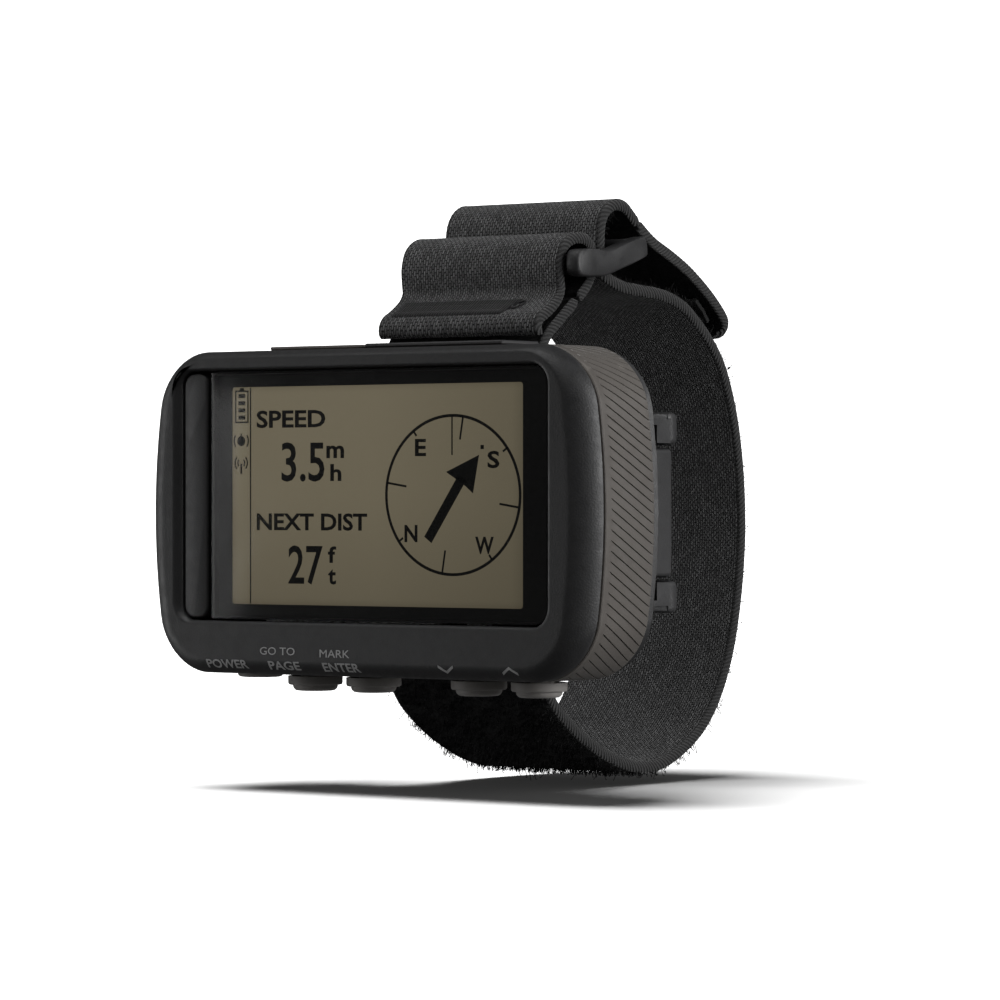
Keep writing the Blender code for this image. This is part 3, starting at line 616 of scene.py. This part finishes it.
def grooved_frame():
    """The bronze ring; fine slanting grooves run round both of its ends."""
    extent = (-HALF_WIDTH, HALF_WIDTH, -HALF_HEIGHT, HALF_HEIGHT)
    loop, length = resampled(rounded(extent, CORNER_RADIUS, SIDE_BULGE, 24, (40, 30)), 0.05, closed=True)
    count = len(loop) - 1

    def at(along):
        whole = along / length * count
        first = int(math.floor(whole))
        return loop[first % count].lerp(loop[(first + 1) % count], whole - first)

    def ring(depth, inset, strength):
        points = []
        for along, cut, side in columns:
            shifted = along - GROOVE_SLOPE * (depth - GROOVE_MIDDLE) * side
            ahead = at(shifted + 0.3) - at(shifted - 0.3)
            outward = Vector((ahead.y, -ahead.x)).normalized()
            point = at(shifted) - outward * (inset + GROOVE_DEPTH * cut * strength)
            points.append((point.x, depth, point.y))
        return points

    total = round(length / GROOVE_PITCH)
    pitch = length / total
    columns = []
    for number in range(total):
        for offset, cut in ((-pitch / 2, 0.0), (-GROOVE_HALF, 0.0), (-GROOVE_HALF * 0.45, 1.0),
                            (GROOVE_HALF * 0.45, 1.0), (GROOVE_HALF, 0.0)):
            along = (number + 0.5) * pitch + offset
            x = at(along).x
            side = max(-1.0, min(1.0, x / GROOVED_FROM))
            columns.append((along, cut if abs(x) > GROOVED_FROM else 0.0, side))
    front, back = FRAME_FRONT, FRAME_BACK
    rows = [(front, 0.3, 0), (front + 0.08, 0.1, 0), (front + 0.2, 0, 0), (front + 0.9, 0, 0),
            (front + 1.15, 0, 0), (front + 1.4, 0, 0.7)]
    rows += [(front + 1.7 + step * 0.68, 0, 1) for step in range(12)]
    rows += [(back - 0.55, 0, 0.7), (back - 0.4, 0.03, 0), (back - 0.2, 0.15, 0), (back, 0.5, 0)]
    rows += [(back, WALL, 0), (front, WALL, 0)]
    made = bmesh.new()
    join_rings(made, [ring(*row) for row in rows], closed=True)
    shaped = finish(made, "grooved_frame", "frame_bronze", "case", ["mid_frame"], smooth=28)
    holes = [(POWER_X, 3.25, -19.35)]
    holes += [(x, STEM_HOLE_RADIUS, -18) for x in (POWER_X, *RAISED_BUTTONS.values())]
    for x, radius, top in holes:
        hole = bmesh.new()
        join_rings(hole, turned_rings([(radius, -22), (radius, top)], x, BUTTON_DEPTH))
        carve(shaped, hole)
    carve(shaped, box_mesh((2.0, 5.6, 18.0), (14.0, 11.6, 21.0)))


def buttons():
    """Round rubber keys: four stand out of stepped boots, and the power key is nearly flush."""
    for name, x in RAISED_BUTTONS.items():
        cap = [(0.02, -22.42), (2.0, -22.46), (2.45, -22.4), (2.75, -22.15), (2.85, -21.8), (2.85, -20.95),
               (1.8, -20.95), (1.8, -18.7)]
        made = bmesh.new()
        join_rings(made, turned_rings(soft_profile(cap, 0.15), x, BUTTON_DEPTH))
        finish(made, name + "_key", "button_rubber", name + "_key", [name + "_button"], smooth=50)
        boot = [(3.1, -21.7), (3.3, -21.68), (3.42, -21.55), (3.45, -21.3), (3.45, -20.55), (3.1, -20.55),
                (3.1, -21.7)]
        made = bmesh.new()
        join_rings(made, turned_rings(soft_profile(boot, 0.1, 3)[:-1], x, BUTTON_DEPTH), closed=True)
        finish(made, name + "_collar", "button_rubber", "case", [name + "_boot"], smooth=50)
    cap = [(0.02, -20.93), (2.3, -20.93), (2.7, -20.85), (2.95, -20.5), (2.95, -19.95), (1.8, -19.95),
           (1.8, -18.7)]
    made = bmesh.new()
    join_rings(made, turned_rings(soft_profile(cap, 0.15), POWER_X, BUTTON_DEPTH))
    finish(made, "power_cap", "button_rubber", "power_key", ["power_button"], smooth=50)


# ---------------------------------------------------------------- the display

def lens_outline(inset=0.0):
    """The lens is square at its left end, by the blank strip, and rounded at its right."""
    extent = (LENS_LEFT + inset, WINDOW[1] - 0.2 - inset, WINDOW[2] + 0.2 + inset, WINDOW[3] - 0.2 - inset)
    square = rounded(extent, 0.3, side_steps=(4, 4))
    soft = rounded(extent, 2.0 - inset, side_steps=(4, 4))
    return [p if p[0] > 0 else q for p, q in zip(soft, square)]


def lens():
    """The clear plate, with the black edge round it."""
    plate = ((0.62, 0), (0.45, 0), (0.38, 0.04), (0.35, 0.15))
    made = bmesh.new()
    join_rings(made, [ring_at(depth, lens_outline(inset)) for depth, inset in plate])
    finish(made, "window_lens", "lens", "case", ["display_lens"], smooth=30)
    edge = ((1.44, 0.02), (0.64, 0.02), (0.64, 0.3), (1.44, 0.3))
    made = bmesh.new()
    join_rings(made, [ring_at(depth, lens_outline(inset)) for depth, inset in edge], closed=True)
    finish(made, "lens_edge", "lens", "case", smooth=30, materials=["border"])


def lcd_extent(grow=0.0):
    (x, z), (half_width, half_height) = LCD_CENTRE, LCD_HALF
    return (x - half_width - grow, x + half_width + grow, z - half_height - grow, z + half_height + grow)


def display_face():
    """The face with its painted glow, and the black border printed on the back of the lens round it."""
    left, right, bottom, top = lcd_extent(0.6)
    made = box_mesh((left, LCD_DEPTH, bottom), (right, LCD_DEPTH + 0.4, top))
    layer = made.loops.layers.uv.new("UVMap")
    for face in made.faces:
        for corner in face.loops:
            x, _, z = corner.vert.co
            corner[layer].uv = ((x - left) / (right - left), (z - bottom) / (top - bottom))
    finish(made, "lcd_face", "display", "case", ["lcd_panel"])
    made = bmesh.new()
    outer, opening = lens_outline(0.05), rounded(lcd_extent(), 0.4, side_steps=(4, 4))
    rings = [ring_at(depth, flat) for depth, flat in
             ((1.5, outer), (1.44, outer), (1.44, opening), (1.5, opening))]
    join_rings(made, rings, closed=True)
    finish(made, "lens_border", "lens", "case", smooth=30, materials=["border"])


def inked(name, shapes):
    """Flat printed shapes, each a closed polygon of (x, z) points from the middle of the display."""
    made = bmesh.new()
    for shape in shapes:
        made.faces.new([made.verts.new((LCD_CENTRE[0] + x, INK_DEPTH, LCD_CENTRE[1] + z)) for x, z in shape])
    solid = bmesh.ops.extrude_face_region(made, geom=made.faces[:])
    for part in solid["geom"]:
        if isinstance(part, bmesh.types.BMVert):
            part.co.y += 0.02
    finish(made, name, "display", "case", smooth=30, materials=["lcd_ink"])


def bar(start, end, width):
    """One straight stroke as a four-sided polygon."""
    first, last = Vector(start), Vector(end)
    along = (last - first).normalized()
    side = Vector((-along.y, along.x)) * width / 2
    return [tuple(first - side), tuple(last - side), tuple(last + side), tuple(first + side)]


def arc(centre, radius, low, high, width):
    """A curved stroke as short four-sided pieces; low and high are degrees."""
    steps = max(3, round((high - low) / 6))
    shapes = []
    for step in range(steps):
        first, last = (math.radians(low + (high - low) * (step + k) / steps) for k in (0, 1))
        near, far = radius - width / 2, radius + width / 2
        shapes.append([(centre[0] + r * math.cos(a), centre[1] + r * math.sin(a))
                       for a, r in ((first, near), (last, near), (last, far), (first, far))])
    return shapes


def case_front(z):
    """Depth of the case's front face at a height: flat, then falling away at the rounded lower edge."""
    return EDGE_DEPTH * edge_drop(1 - (z + HALF_HEIGHT) / EDGE_HEIGHT)


def cut_across(mesh, spacing):
    """Splits flat lettering into low strips, so that it can follow a curved surface."""
    made = bmesh.new()
    made.from_mesh(mesh)
    low, high = min(v.co.y for v in made.verts), max(v.co.y for v in made.verts)
    for step in range(1, int((high - low) / spacing)):
        parts = made.verts[:] + made.edges[:] + made.faces[:]
        bmesh.ops.bisect_plane(made, geom=parts, plane_co=(0, low + step * spacing, 0), plane_no=(0, 1, 0))
    made.to_mesh(mesh)
    made.free()


def letters(name, text, centre, width, height, on_case=False, stroke=0.0):
    """Plain lettering as thin geometry, fitted to a width and height about its centre."""
    origin = (0, 0) if on_case else LCD_CENTRE
    curve = bpy.data.curves.new(name, "FONT")
    curve.body = text
    curve.align_x = "CENTER"
    curve.extrude = 0.01
    curve.offset = stroke
    curve.resolution_u = 3
    holder = new_object(name + "_curve", curve)
    bpy.context.view_layer.update()
    mesh = bpy.data.meshes.new_from_object(holder.evaluated_get(bpy.context.evaluated_depsgraph_get()))
    bpy.data.objects.remove(holder)
    if on_case:
        cut_across(mesh, 0.06)
    xs, ys = [v.co.x for v in mesh.vertices], [v.co.y for v in mesh.vertices]
    middle = ((min(xs) + max(xs)) / 2, (min(ys) + max(ys)) / 2)
    wide, tall = max(xs) - min(xs), max(ys) - min(ys)
    for vertex in mesh.vertices:
        x = (vertex.co.x - middle[0]) / wide * width + centre[0] + origin[0]
        z = (vertex.co.y - middle[1]) / tall * height + centre[1] + origin[1]
        face = case_front(z) - 0.015 if on_case else INK_DEPTH
        vertex.co = place(x, face - vertex.co.z, z)
    mesh.materials.clear()
    mesh.materials.append(MATERIALS["legend" if on_case else "lcd_ink"])
    shaped = new_object(name, mesh)
    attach(shaped, "case")


COMPASS = (12.09, 0.05)
COMPASS_RADIUS = 9.65
COMPASS_STRETCH = 1.06


def on_dial(clock_degrees, radius):
    """A point on the compass, clockwise from the top."""
    angle = math.radians(90 - clock_degrees)
    return (COMPASS[0] + COMPASS_STRETCH * radius * math.cos(angle), COMPASS[1] + radius * math.sin(angle))


def compass_page():
    """A compass ring with its ticks, letters and arrow."""
    shapes = []
    for step in range(90):
        angles = (4 * step, 4 * step + 4)
        inner = [on_dial(a, COMPASS_RADIUS - 0.18) for a in angles]
        outer = [on_dial(a, COMPASS_RADIUS + 0.18) for a in angles]
        shapes.append([inner[0], inner[1], outer[1], outer[0]])
    shapes.append(bar((12.01, 4.9), (12.01, COMPASS_RADIUS), 0.2))
    for quarter in range(4):
        long, short = 9 + 90 * quarter, 54 + 90 * quarter
        shapes.append(bar(on_dial(long, 6.8), on_dial(long, COMPASS_RADIUS), 0.26))
        shapes.append(bar(on_dial(short, 8.9), on_dial(short, COMPASS_RADIUS), 0.26))
    tip, corners = (16.12, 4.9), ((11.1, 2.85), (15.2, 0.25))
    shapes.append(bar((8.3, -5.4), (13.6, 2.2), 1.35))
    shapes.append([tip, corners[0], (12.85, 1.85), (14.1, 1.1), corners[1]])
    shapes.append(bar((16.35, 5.84), (16.85, 5.84), 0.5))
    inked("compass_dial", shapes)
    for letter, at, width in (
        ("E", (7.17, 5.84), 1.7), ("S", (18.31, 4.32), 1.8),
        ("N", (5.7, -4.64), 2.0), ("W", (16.95, -6.03), 2.8),
    ):
        letters("dial_" + letter, letter, at, width, 2.1, stroke=0.025)


def status_icons():
    """A line down the page with a battery, a satellite and a plain radio aerial beside it."""
    shapes = [bar((-19.88, -13.5), (-19.88, 13.5), 0.2)]
    left, right, bottom, top = -22.3, -20.3, 9.2, 13.1
    shapes += [bar((x, bottom), (x, top), 0.2) for x in (left, right)]
    shapes += [bar((left - 0.1, z), (right + 0.1, z), 0.2) for z in (bottom, top)]
    shapes.append(bar((-21.65, top + 0.25), (-20.95, top + 0.25), 0.3))
    for step in range(4):
        height = bottom + 0.6 + step * 0.9
        shapes.append(bar((-21.85, height), (-20.75, height), 0.5))
    x, satellite, aerial = -21.4, 6.85, 4.1
    shapes.append(circle(x, satellite, 0.65, 12))
    shapes.append(bar((x, satellite), (x, 7.8), 0.2))
    shapes.append(bar((x, 2.7), (x, 4.0), 0.28))
    for height, reach, spread in ((satellite, 1.15, 38), (aerial, 0.55, 45), (aerial, 1.0, 45)):
        shapes += arc((x, height), reach, -spread, spread, 0.2)
        shapes += arc((x, height), reach, 180 - spread, 180 + spread, 0.2)
    inked("status_icons", shapes)


def readings():
    """The speed and the distance on the display, with their units."""
    for name, text, at, width, height in (
        ("speed_label", "SPEED", (-13.32, 9.54), 11.1, 2.2), ("speed_value", "3.5", (-11.37, 4.18), 6.9, 4.9),
        ("per_m", "m", (-6.2, 5.4), 2.8, 1.55), ("per_h", "h", (-6.1, 2.85), 1.75, 2.1),
        ("distance_label", "NEXT DIST", (-10.0, -3.27), 17.7, 2.15),
        ("distance_value", "27", (-10.96, -8.62), 5.5, 4.85), ("feet_f", "f", (-6.7, -7.3), 1.3, 2.05),
        ("feet_t", "t", (-6.7, -10.05), 1.25, 1.9),
    ):
        letters(name, text, at, width, height, stroke=0.012 if name.endswith("value") else 0.025)


def legends():
    """Plain words printed under the window, above the keys they name."""
    for text, x, z, width, height in (
        ("POWER", -21.25, -19.0, 6.7, 1.1), ("PAGE", -12.0, -19.05, 5.0, 1.1),
        ("ENTER", -2.9, -19.1, 5.8, 1.1), ("GO TO", -12.9, -17.25, 5.6, 0.95),
        ("MARK", -3.75, -17.4, 4.7, 0.95),
    ):
        bold = 0.0 if text in ("GO TO", "MARK") else 0.02
        letters("legend_" + text.replace(" ", "_").lower(), text, (x, z), width, height, True, bold)
    made = bmesh.new()
    for x, sign in ((13.45, -1), (23.05, 1)):
        for reach in (-1.15, 1.15):
            start, end = Vector((x + reach, -18.95 - sign * 0.35)), Vector((x, -18.95 + sign * 0.35))
            side = Vector((0, 0.17))
            rings = []
            for step in range(7):
                middle = start.lerp(end, step / 6)
                low, high = middle - side, middle + side
                rings.append([(p.x, case_front(p.y) + lift, p.y) for p, lift in
                              ((low, 0.02), (high, 0.02), (high, -0.025), (low, -0.025))])
            join_rings(made, rings)
    finish(made, "chevrons", "case_plastic", "case", smooth=30, materials=["legend"])


# ---------------------------------------------------------------- the strap and its buckle

LOOP_LINE = [
    (35.3, 29.9), (38.5, 28.9), (42.2, 28.5), (46.6, 28.2), (50.0, 27.6), (53.0, 26.5), (55.6, 24.8),
    (58.7, 22.3), (61.7, 18.6), (64.2, 12.6), (65.6, 6.0), (66.1, 0), (66.0, -5), (65.1, -11.6),
    (63.4, -18.1), (60.7, -23.7), (57.0, -28.0), (52.2, -30.9), (47.2, -32.6), (42.0, -32.7), (36.6, -31.4),
    (31.2, -29.0), (27.2, -26.6), (23.9, -23.9), (21.3, -20), (20.1, -16), (19.9, -12), (19.9, 0),
    (19.9, 12), (20.1, 15.5), (20.9, 19), (22.6, 22), (25.6, 24.4), (28.6, 26.6),
]
ARCH_LINE = [
    (42.1, 36.95), (40.7, 38.05), (39.2, 39.05), (37.2, 39.25), (35.4, 38.4), (34.4, 37.0), (34.05, 35.0),
    (34.1, 32.3), (34.35, 30.7),
]
FOLD_LINE = [
    (29.0, 26.95), (31.0, 28.6), (32.2, 30.4), (32.4, 32.2), (31.7, 33.9), (30.0, 34.6), (27.8, 34.4),
    (26.0, 33.2), (25.3, 31.2), (25.4, 29.3), (25.5, 27.9), (24.6, 26.5), (22.6, 25.1), (21.3, 24.4),
    (20.7, 23.7), (20.6, 22.9), (21.1, 22.3),
]
TAIL_LINE = [
    (42.1, 36.95), (42.55, 36.65), (45.7, 34.75), (49.6, 33.2), (53.2, 31.6), (56.2, 29.9), (58.9, 28.1),
    (61.0, 26.4), (62.3, 25.0), (62.7, 23.9), (62.3, 22.9),
]


def band_section(half_width, thickness, rope):
    """(across, out, kind) points round the strap: two flat faces between two round rope-like edges."""
    flat = half_width - rope
    points = []
    for side, kind in ((1, "pile"), (-1, "weave")):
        points += [(side * (-flat + 2 * flat * step / 20), side * thickness / 2, kind) for step in range(21)]
        for step in range(1, 8):
            angle = side * math.pi / 2 - math.pi * step / 8
            points.append((side * flat + rope * math.cos(angle), thickness * 0.56 * math.sin(angle), "edge"))
    return points


def ahead_and_out(centre, number, out_sign=1):
    """The ways along a line and out of it, at one of its points."""
    ahead = centre[min(number + 1, len(centre) - 1)] - centre[max(number - 1, 0)]
    ahead.normalize()
    return ahead, Vector((ahead.y, -ahead.x)) * out_sign


def band(name, line, thickness, body, replaced, out_sign=-1, rope=0.55, twist=0.02,
         half_width=STRAP_HALF, shift=0.0, tip=0.0):
    """A length of webbing along a line of (depth, height) points, pile on one side and weave on the other.

    tip rounds the corners of the far end; twist swells the edges like laid rope.
    """
    centre, length = resampled(line, STRAP_STEP)
    made = bmesh.new()
    rows = []
    count = len(centre)
    for number, point in enumerate(centre):
        _, out = ahead_and_out(centre, number, out_sign)
        along = length * number / (count - 1)
        near = min(1.0, min(along, length - along) / (thickness / 2))
        taper = 0.35 + 0.65 * math.sqrt(1 - (1 - near) ** 2)
        half = half_width
        if length - along < tip:
            half += -tip + math.sqrt(max(0.0, tip ** 2 - (tip - (length - along)) ** 2))
        section = band_section(half, thickness, rope)
        ring = []
        for across, lift, kind in section:
            swell, slide = 1.0, 0.0
            if kind == "edge":
                turn = math.sin(2 * math.pi * (along / LAY_PITCH + (0.25 if across > 0 else 0.0)))
                swell = 1.0 + twist * turn
                slide = 0.6 * twist * turn * (1 if across > 0 else -1)
            depth = point + out * lift * swell * taper
            ring.append((across + slide + shift, depth.x, depth.y))
        rows.append([made.verts.new(p) for p in ring])
    size = len(section)
    layer = made.loops.layers.uv.new("UVMap")
    kinds = {"weave": 0, "edge": 1, "pile": 2}
    around = [0.0]
    for first, second in zip(section, section[1:] + section[:1]):
        around.append(around[-1] + math.dist(first[:2], second[:2]))
    for number, (first, second) in enumerate(zip(rows, rows[1:])):
        for step in range(size):
            after = (step + 1) % size
            face = made.faces.new((first[step], first[after], second[after], second[step]))
            kind = section[step][2] if section[step][2] == section[after][2] else "edge"
            face.material_index = kinds[kind]
            for corner, (row, spot) in zip(face.loops, ((0, step), (0, step + 1), (1, step + 1), (1, step))):
                corner[layer].uv = ((number + row) * length / (count - 1), around[spot])
    for end in (rows[0][::-1], rows[-1]):
        made.faces.new(end).material_index = kinds["edge"]
    return finish(made, name, "webbing", body, replaced, smooth=80, materials=["webbing", "selvedge", "pile"])


def pile_loops(name, line):
    """Tiny loops and stray fibres standing out of the pile side of the strap."""
    centre, _ = resampled(line, STRAP_STEP)
    made = bmesh.new()
    for _ in range(PILE_COUNT):
        number = RANDOM.randrange(1, len(centre) - 2)
        ahead, out = ahead_and_out(centre, number, -1)
        foot = centre[number].lerp(centre[number + 1], RANDOM.random()) + out * (STRAP_THICKNESS / 2 - 0.12)
        across = RANDOM.uniform(-STRAP_HALF, STRAP_HALF)
        turn = RANDOM.uniform(0, 2 * math.pi)
        loose = RANDOM.random() < 0.05
        reach = RANDOM.uniform(0.8, 1.9) if loose else RANDOM.uniform(0.4, 0.9)
        width = RANDOM.uniform(0.25, 0.6)
        lean = (RANDOM.uniform(-0.4, 0.4), RANDOM.uniform(-0.4, 0.4))
        points = []
        for step in range(PILE_STEPS + 1):
            angle = math.pi * step / PILE_STEPS * (0.65 if loose else 1.0)
            rise = math.sin(angle) * reach
            slide = -math.cos(angle) * width / 2
            spot = foot + ahead * (slide * math.cos(turn) + lean[0] * rise) + out * rise
            points.append(Vector((across + slide * math.sin(turn) + lean[1] * rise, spot.x, spot.y)))
        tube(made, points, 0.045, 3)
    return finish(made, name, "webbing", None, smooth=180, materials=["pile"])


def hem():
    """The flat sewn hem across the fold, with the loose end of its thread."""
    centre, length = resampled(FOLD_LINE, 0.15)
    last = len(centre) - 1
    rings = []
    for number in range(1, last):
        left_over = length * (1 - number / last)
        if not HEM_END < left_over < HEM_START:
            continue
        _, out = ahead_and_out(centre, number)
        share = (HEM_START - left_over) / (HEM_START - HEM_END)
        sink = FOLD_THICKNESS / 2 - 0.25
        rise = sink + 0.1 + 0.33 * min(1.0, 4 * math.sin(math.pi * share))
        across = [HEM_LEFT + (HEM_RIGHT - HEM_TAPER * share - HEM_LEFT) * k / 24 for k in range(25)]
        tops = [centre[number] + out * (rise if 0 < k < 24 else sink) for k in range(25)]
        low = centre[number] + out * (sink - 0.15)
        ring = [(x, top.x, top.y) for x, top in zip(across, tops)]
        rings.append(ring + [(x, low.x, low.y) for x in reversed(across)])
    made = bmesh.new()
    join_rings(made, rings)
    layer = made.loops.layers.uv.new("UVMap")
    for face in made.faces:
        for corner in face.loops:
            corner[layer].uv = (corner.vert.co.z * 1.4, corner.vert.co.x)
    finish(made, "hem", "thread", "case", ["stitch_bar"], smooth=60)
    knot = []
    for step in range(15):
        angle = 2 * math.pi * (0.06 + 0.88 * step / 14)
        left_over = (HEM_START + HEM_END) / 2 + 0.25 + 0.95 * math.sin(angle)
        number = round(last * (1 - left_over / length))
        lifted = centre[number] + ahead_and_out(centre, number)[1] * (FOLD_THICKNESS / 2 + 0.16)
        knot.append(Vector((7.7 - 0.55 * math.cos(angle) + 0.5 * math.sin(angle), lifted.x, lifted.y)))
    made = bmesh.new()
    tube(made, knot, 0.11)
    finish(made, "thread_end", "thread", "case", smooth=180)


def tube(made, points, radius, sides=6):
    """A thin round thread along a line of 3D points."""
    rings = []
    for number, point in enumerate(points):
        ahead = (points[min(number + 1, len(points) - 1)] - points[max(number - 1, 0)]).normalized()
        side = ahead.orthogonal().normalized()
        other = ahead.cross(side)
        rings.append([tuple(point + (side * math.cos(a) + other * math.sin(a)) * radius)
                      for a in (2 * math.pi * k / sides for k in range(sides))])
    join_rings(made, rings)


def strap():
    body = band("strap_body", ARCH_LINE + LOOP_LINE, STRAP_THICKNESS, None, ["strap_loop", "strap_arch"])
    nap = pile_loops("strap_nap", ARCH_LINE[3:] + LOOP_LINE[:-6])
    for made in (body, nap):
        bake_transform(made)
    band("fold", FOLD_LINE, FOLD_THICKNESS, "case", ["strap_fold"], rope=0.45, twist=0.0, half_width=12.7,
         shift=-0.2)
    hem()
    tail = band("tail_flap", TAIL_LINE, STRAP_THICKNESS, None, ["strap_tail"], out_sign=1, tip=3.0)
    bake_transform(tail)


def side_plate(made, outline, low, high, soft=0.45):
    """A flat plate between two X planes with its edges rounded over."""
    middle = sum((Vector(p) for p in outline), Vector((0, 0))) / len(outline)
    rings = []
    for x, inset in ((low, soft), (low + soft * 0.3, soft * 0.3), (low + soft, 0), (high - soft, 0),
                     (high - soft * 0.3, soft * 0.3), (high, soft)):
        ring = []
        for point in outline:
            toward = Vector(point) - middle
            spot = middle + toward * (1 - inset / toward.length)
            ring.append((x, spot.x, spot.y))
        rings.append(ring)
    join_rings(made, rings)


def buckle():
    """The ring buckle: two side plates joined by a front and a rear bar."""
    outline = [
        (25.3, 30.3), (26.0, 29.7), (28.6, 29.65), (31.6, 29.9), (36.0, 31.2), (40.0, 32.6), (40.45, 33.2),
        (40.35, 34.2), (40.1, 34.8), (39.5, 35.2), (36.0, 34.3), (31.9, 33.2), (28.8, 33.2), (26.2, 33.0),
        (25.4, 32.5), (25.15, 31.4),
    ]
    smooth, _ = resampled(outline, 0.4, closed=True)
    smooth = smooth[:-1]
    made = bmesh.new()
    side_plate(made, smooth, STRAP_HALF + 0.5, STRAP_HALF + 2.6)
    trimmed = [Vector((max(p.x, 27.0 + 0.25 * abs(p.y - 31.3)), p.y)) for p in smooth]
    side_plate(made, trimmed, -STRAP_HALF - 1.7, -STRAP_HALF - 0.5, 0.3)
    reach = STRAP_HALF + 1.0
    for shape in (circle(28.9, 31.3, 1.7, 28, 1.3), circle(38.2, 33.9, 1.45, 28, 1.0)):
        join_rings(made, [[(x, *p) for p in shape] for x in (-reach, reach)])
    return finish(made, "buckle_frame", "case_plastic", "buckle_ring", ["buckle"], smooth=50)


# ---------------------------------------------------------------- pieces carried over from the frame

CARRIED_MATERIAL = {
    "rear_cover": "case_plastic", "battery_door": "case_plastic", "door_latch": "case_plastic",
    "top_rib": "frame_bronze", "usb_cap": "case_plastic", "hook_patch": "hook_tape", "stitch_bar": "thread",
    "lens_gasket": "seal_rubber", "front_seal": "seal_rubber", "rear_seal": "seal_rubber",
    "door_seal": "seal_rubber", "key_mat": "button_rubber", "light_guide": "light_guide_plastic",
    "lcd_holder": "inner_plastic", "battery_cell_1": "cell_sleeve", "battery_cell_2": "cell_sleeve",
    "main_board": "circuit_board", "switch_board": "circuit_board", "gps_antenna": "antenna_ceramic",
    "beeper": "inner_plastic",
}
BEVEL_WIDTH = {"rear_cover": 0.35, "battery_door": 0.3, "door_latch": 0.25, "top_rib": 0.2, "usb_cap": 0.2}


def dress(name, made):
    """Gives a CAD piece its finish, softened edges and smooth shading."""
    material = MATERIALS[CARRIED_MATERIAL.get(name, "plated_metal")]
    made.data.materials.clear()
    made.data.materials.append(material)
    weld = made.modifiers.new("weld", "WELD")
    weld.merge_threshold = 1e-6
    soften = made.modifiers.new("soften", "BEVEL")
    soften.width = BEVEL_WIDTH.get(name, 0.12) * MM
    soften.segments = 2
    soften.limit_method = "ANGLE"
    soften.angle_limit = math.radians(35)
    for polygon in made.data.polygons:
        polygon.use_smooth = True
    made.data.set_sharp_from_angle(angle=math.radians(40))
    even = made.modifiers.new("even_shading", "WEIGHTED_NORMAL")
    even.keep_sharp = True
    even.weight = 50


# ---------------------------------------------------------------- the studio

def studio():
    """A seamless white bowl round the object, broad soft lights, and the camera."""
    low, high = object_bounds()
    floor_reach, rise, bend, sides = 0.9, 2.4, 0.7, 64
    made = bmesh.new()
    profile = [(0.05, 0.0), (0.3, 0.0), (floor_reach, 0.0)]
    profile += [(floor_reach + bend * math.sin(a), bend - bend * math.cos(a))
                for a in (math.radians(6 * k) for k in range(1, 16))]
    profile.append((floor_reach + bend, rise))
    rows = [[made.verts.new((radius * math.cos(a), radius * math.sin(a), z + low.z))
             for a in (2 * math.pi * k / sides for k in range(sides))] for radius, z in profile]
    made.faces.new(rows[0])
    for first, second in zip(rows, rows[1:]):
        for step in range(sides):
            after = (step + 1) % sides
            made.faces.new((first[step], second[step], second[after], first[after]))
    mesh = bpy.data.meshes.new("sweep")
    made.to_mesh(mesh)
    made.free()
    for polygon in mesh.polygons:
        polygon.use_smooth = True
    sweep = new_object("sweep", mesh)
    tree, shader = new_material("paper")
    set_inputs(shader, Base_Color=(0.45, 0.45, 0.45), Roughness=0.9, Specular_IOR_Level=0.0)
    set_inputs(shader, Emission_Color=(1, 1, 1))
    away = node(tree, "ShaderNodeVectorMath", operation="LENGTH")
    tree.links.new(coordinates(tree), away.inputs[0])
    glow = node(tree, "ShaderNodeMapRange", From_Min=0.15, From_Max=0.6, To_Min=0.02)
    tree.links.new(away.outputs["Value"], glow.inputs["Value"])
    connect(tree, shader, Emission_Strength=glow.outputs["Result"])
    mesh.materials.append(MATERIALS["paper"])
    sweep.visible_diffuse = False
    sweep.visible_glossy = False
    backdrop = bpy.data.collections.new("backdrop")
    backdrop.objects.link(sweep)
    subject = bpy.data.collections.new("subject")
    for shown in bpy.context.scene.objects:
        if shown.type == "MESH" and shown is not sweep:
            subject.objects.link(shown)

    world = bpy.data.worlds.new("room")
    world.use_nodes = True
    world.node_tree.nodes["Background"].inputs["Color"].default_value = (1, 1, 1, 1)
    world.node_tree.nodes["Background"].inputs["Strength"].default_value = 0.1
    bpy.context.scene.world = world

    middle = (low + high) / 2
    for name, azimuth, elevation, distance, size, power, lit in (
        ("key", -25, 62, 0.7, 0.5, 2.3, subject), ("left", -66, -5, 0.7, 0.5, 1.6, subject),
        ("right", 99, 12, 0.7, 0.5, 6.9, subject), ("front", -50, -25, 0.9, 0.6, 0.35, subject),
        ("overhead", -62, 76, 1.6, 0.95, 92.0, backdrop),
    ):
        data = bpy.data.lights.new(name, "AREA")
        data.shape = "SQUARE"
        data.size = size
        data.energy = power
        lamp = new_object(name, data)
        side, up = math.radians(azimuth), math.radians(elevation)
        away = Vector((math.sin(side) * math.cos(up), -math.cos(side) * math.cos(up), math.sin(up)))
        lamp.location = middle + away * distance
        lamp.rotation_euler = (-away).to_track_quat("-Z", "Y").to_euler()
        lamp.light_linking.receiver_collection = lit
        if name == "front":
            lamp.visible_glossy = False

    data = bpy.data.cameras.new("camera")
    data.lens = 163.264
    data.sensor_width = 36.0
    data.dof.use_dof = False
    data.clip_start = 0.05
    camera = new_object("camera", data)
    camera.location = place(348.65, -433.77, 1.55)
    camera.rotation_euler = (math.radians(90), 0, math.radians(37))
    bpy.context.scene.camera = camera
    bpy.context.scene.view_settings.view_transform = "Standard"


def build():
    front_bezel()
    nameplate()
    grooved_frame()
    buttons()
    lens()
    display_face()
    compass_page()
    status_icons()
    readings()
    legends()
    strap()
    buckle()
    for name, made in frame["nodes"].items():
        if not made.hide_render:
            dress(name, made)
    studio()


build()
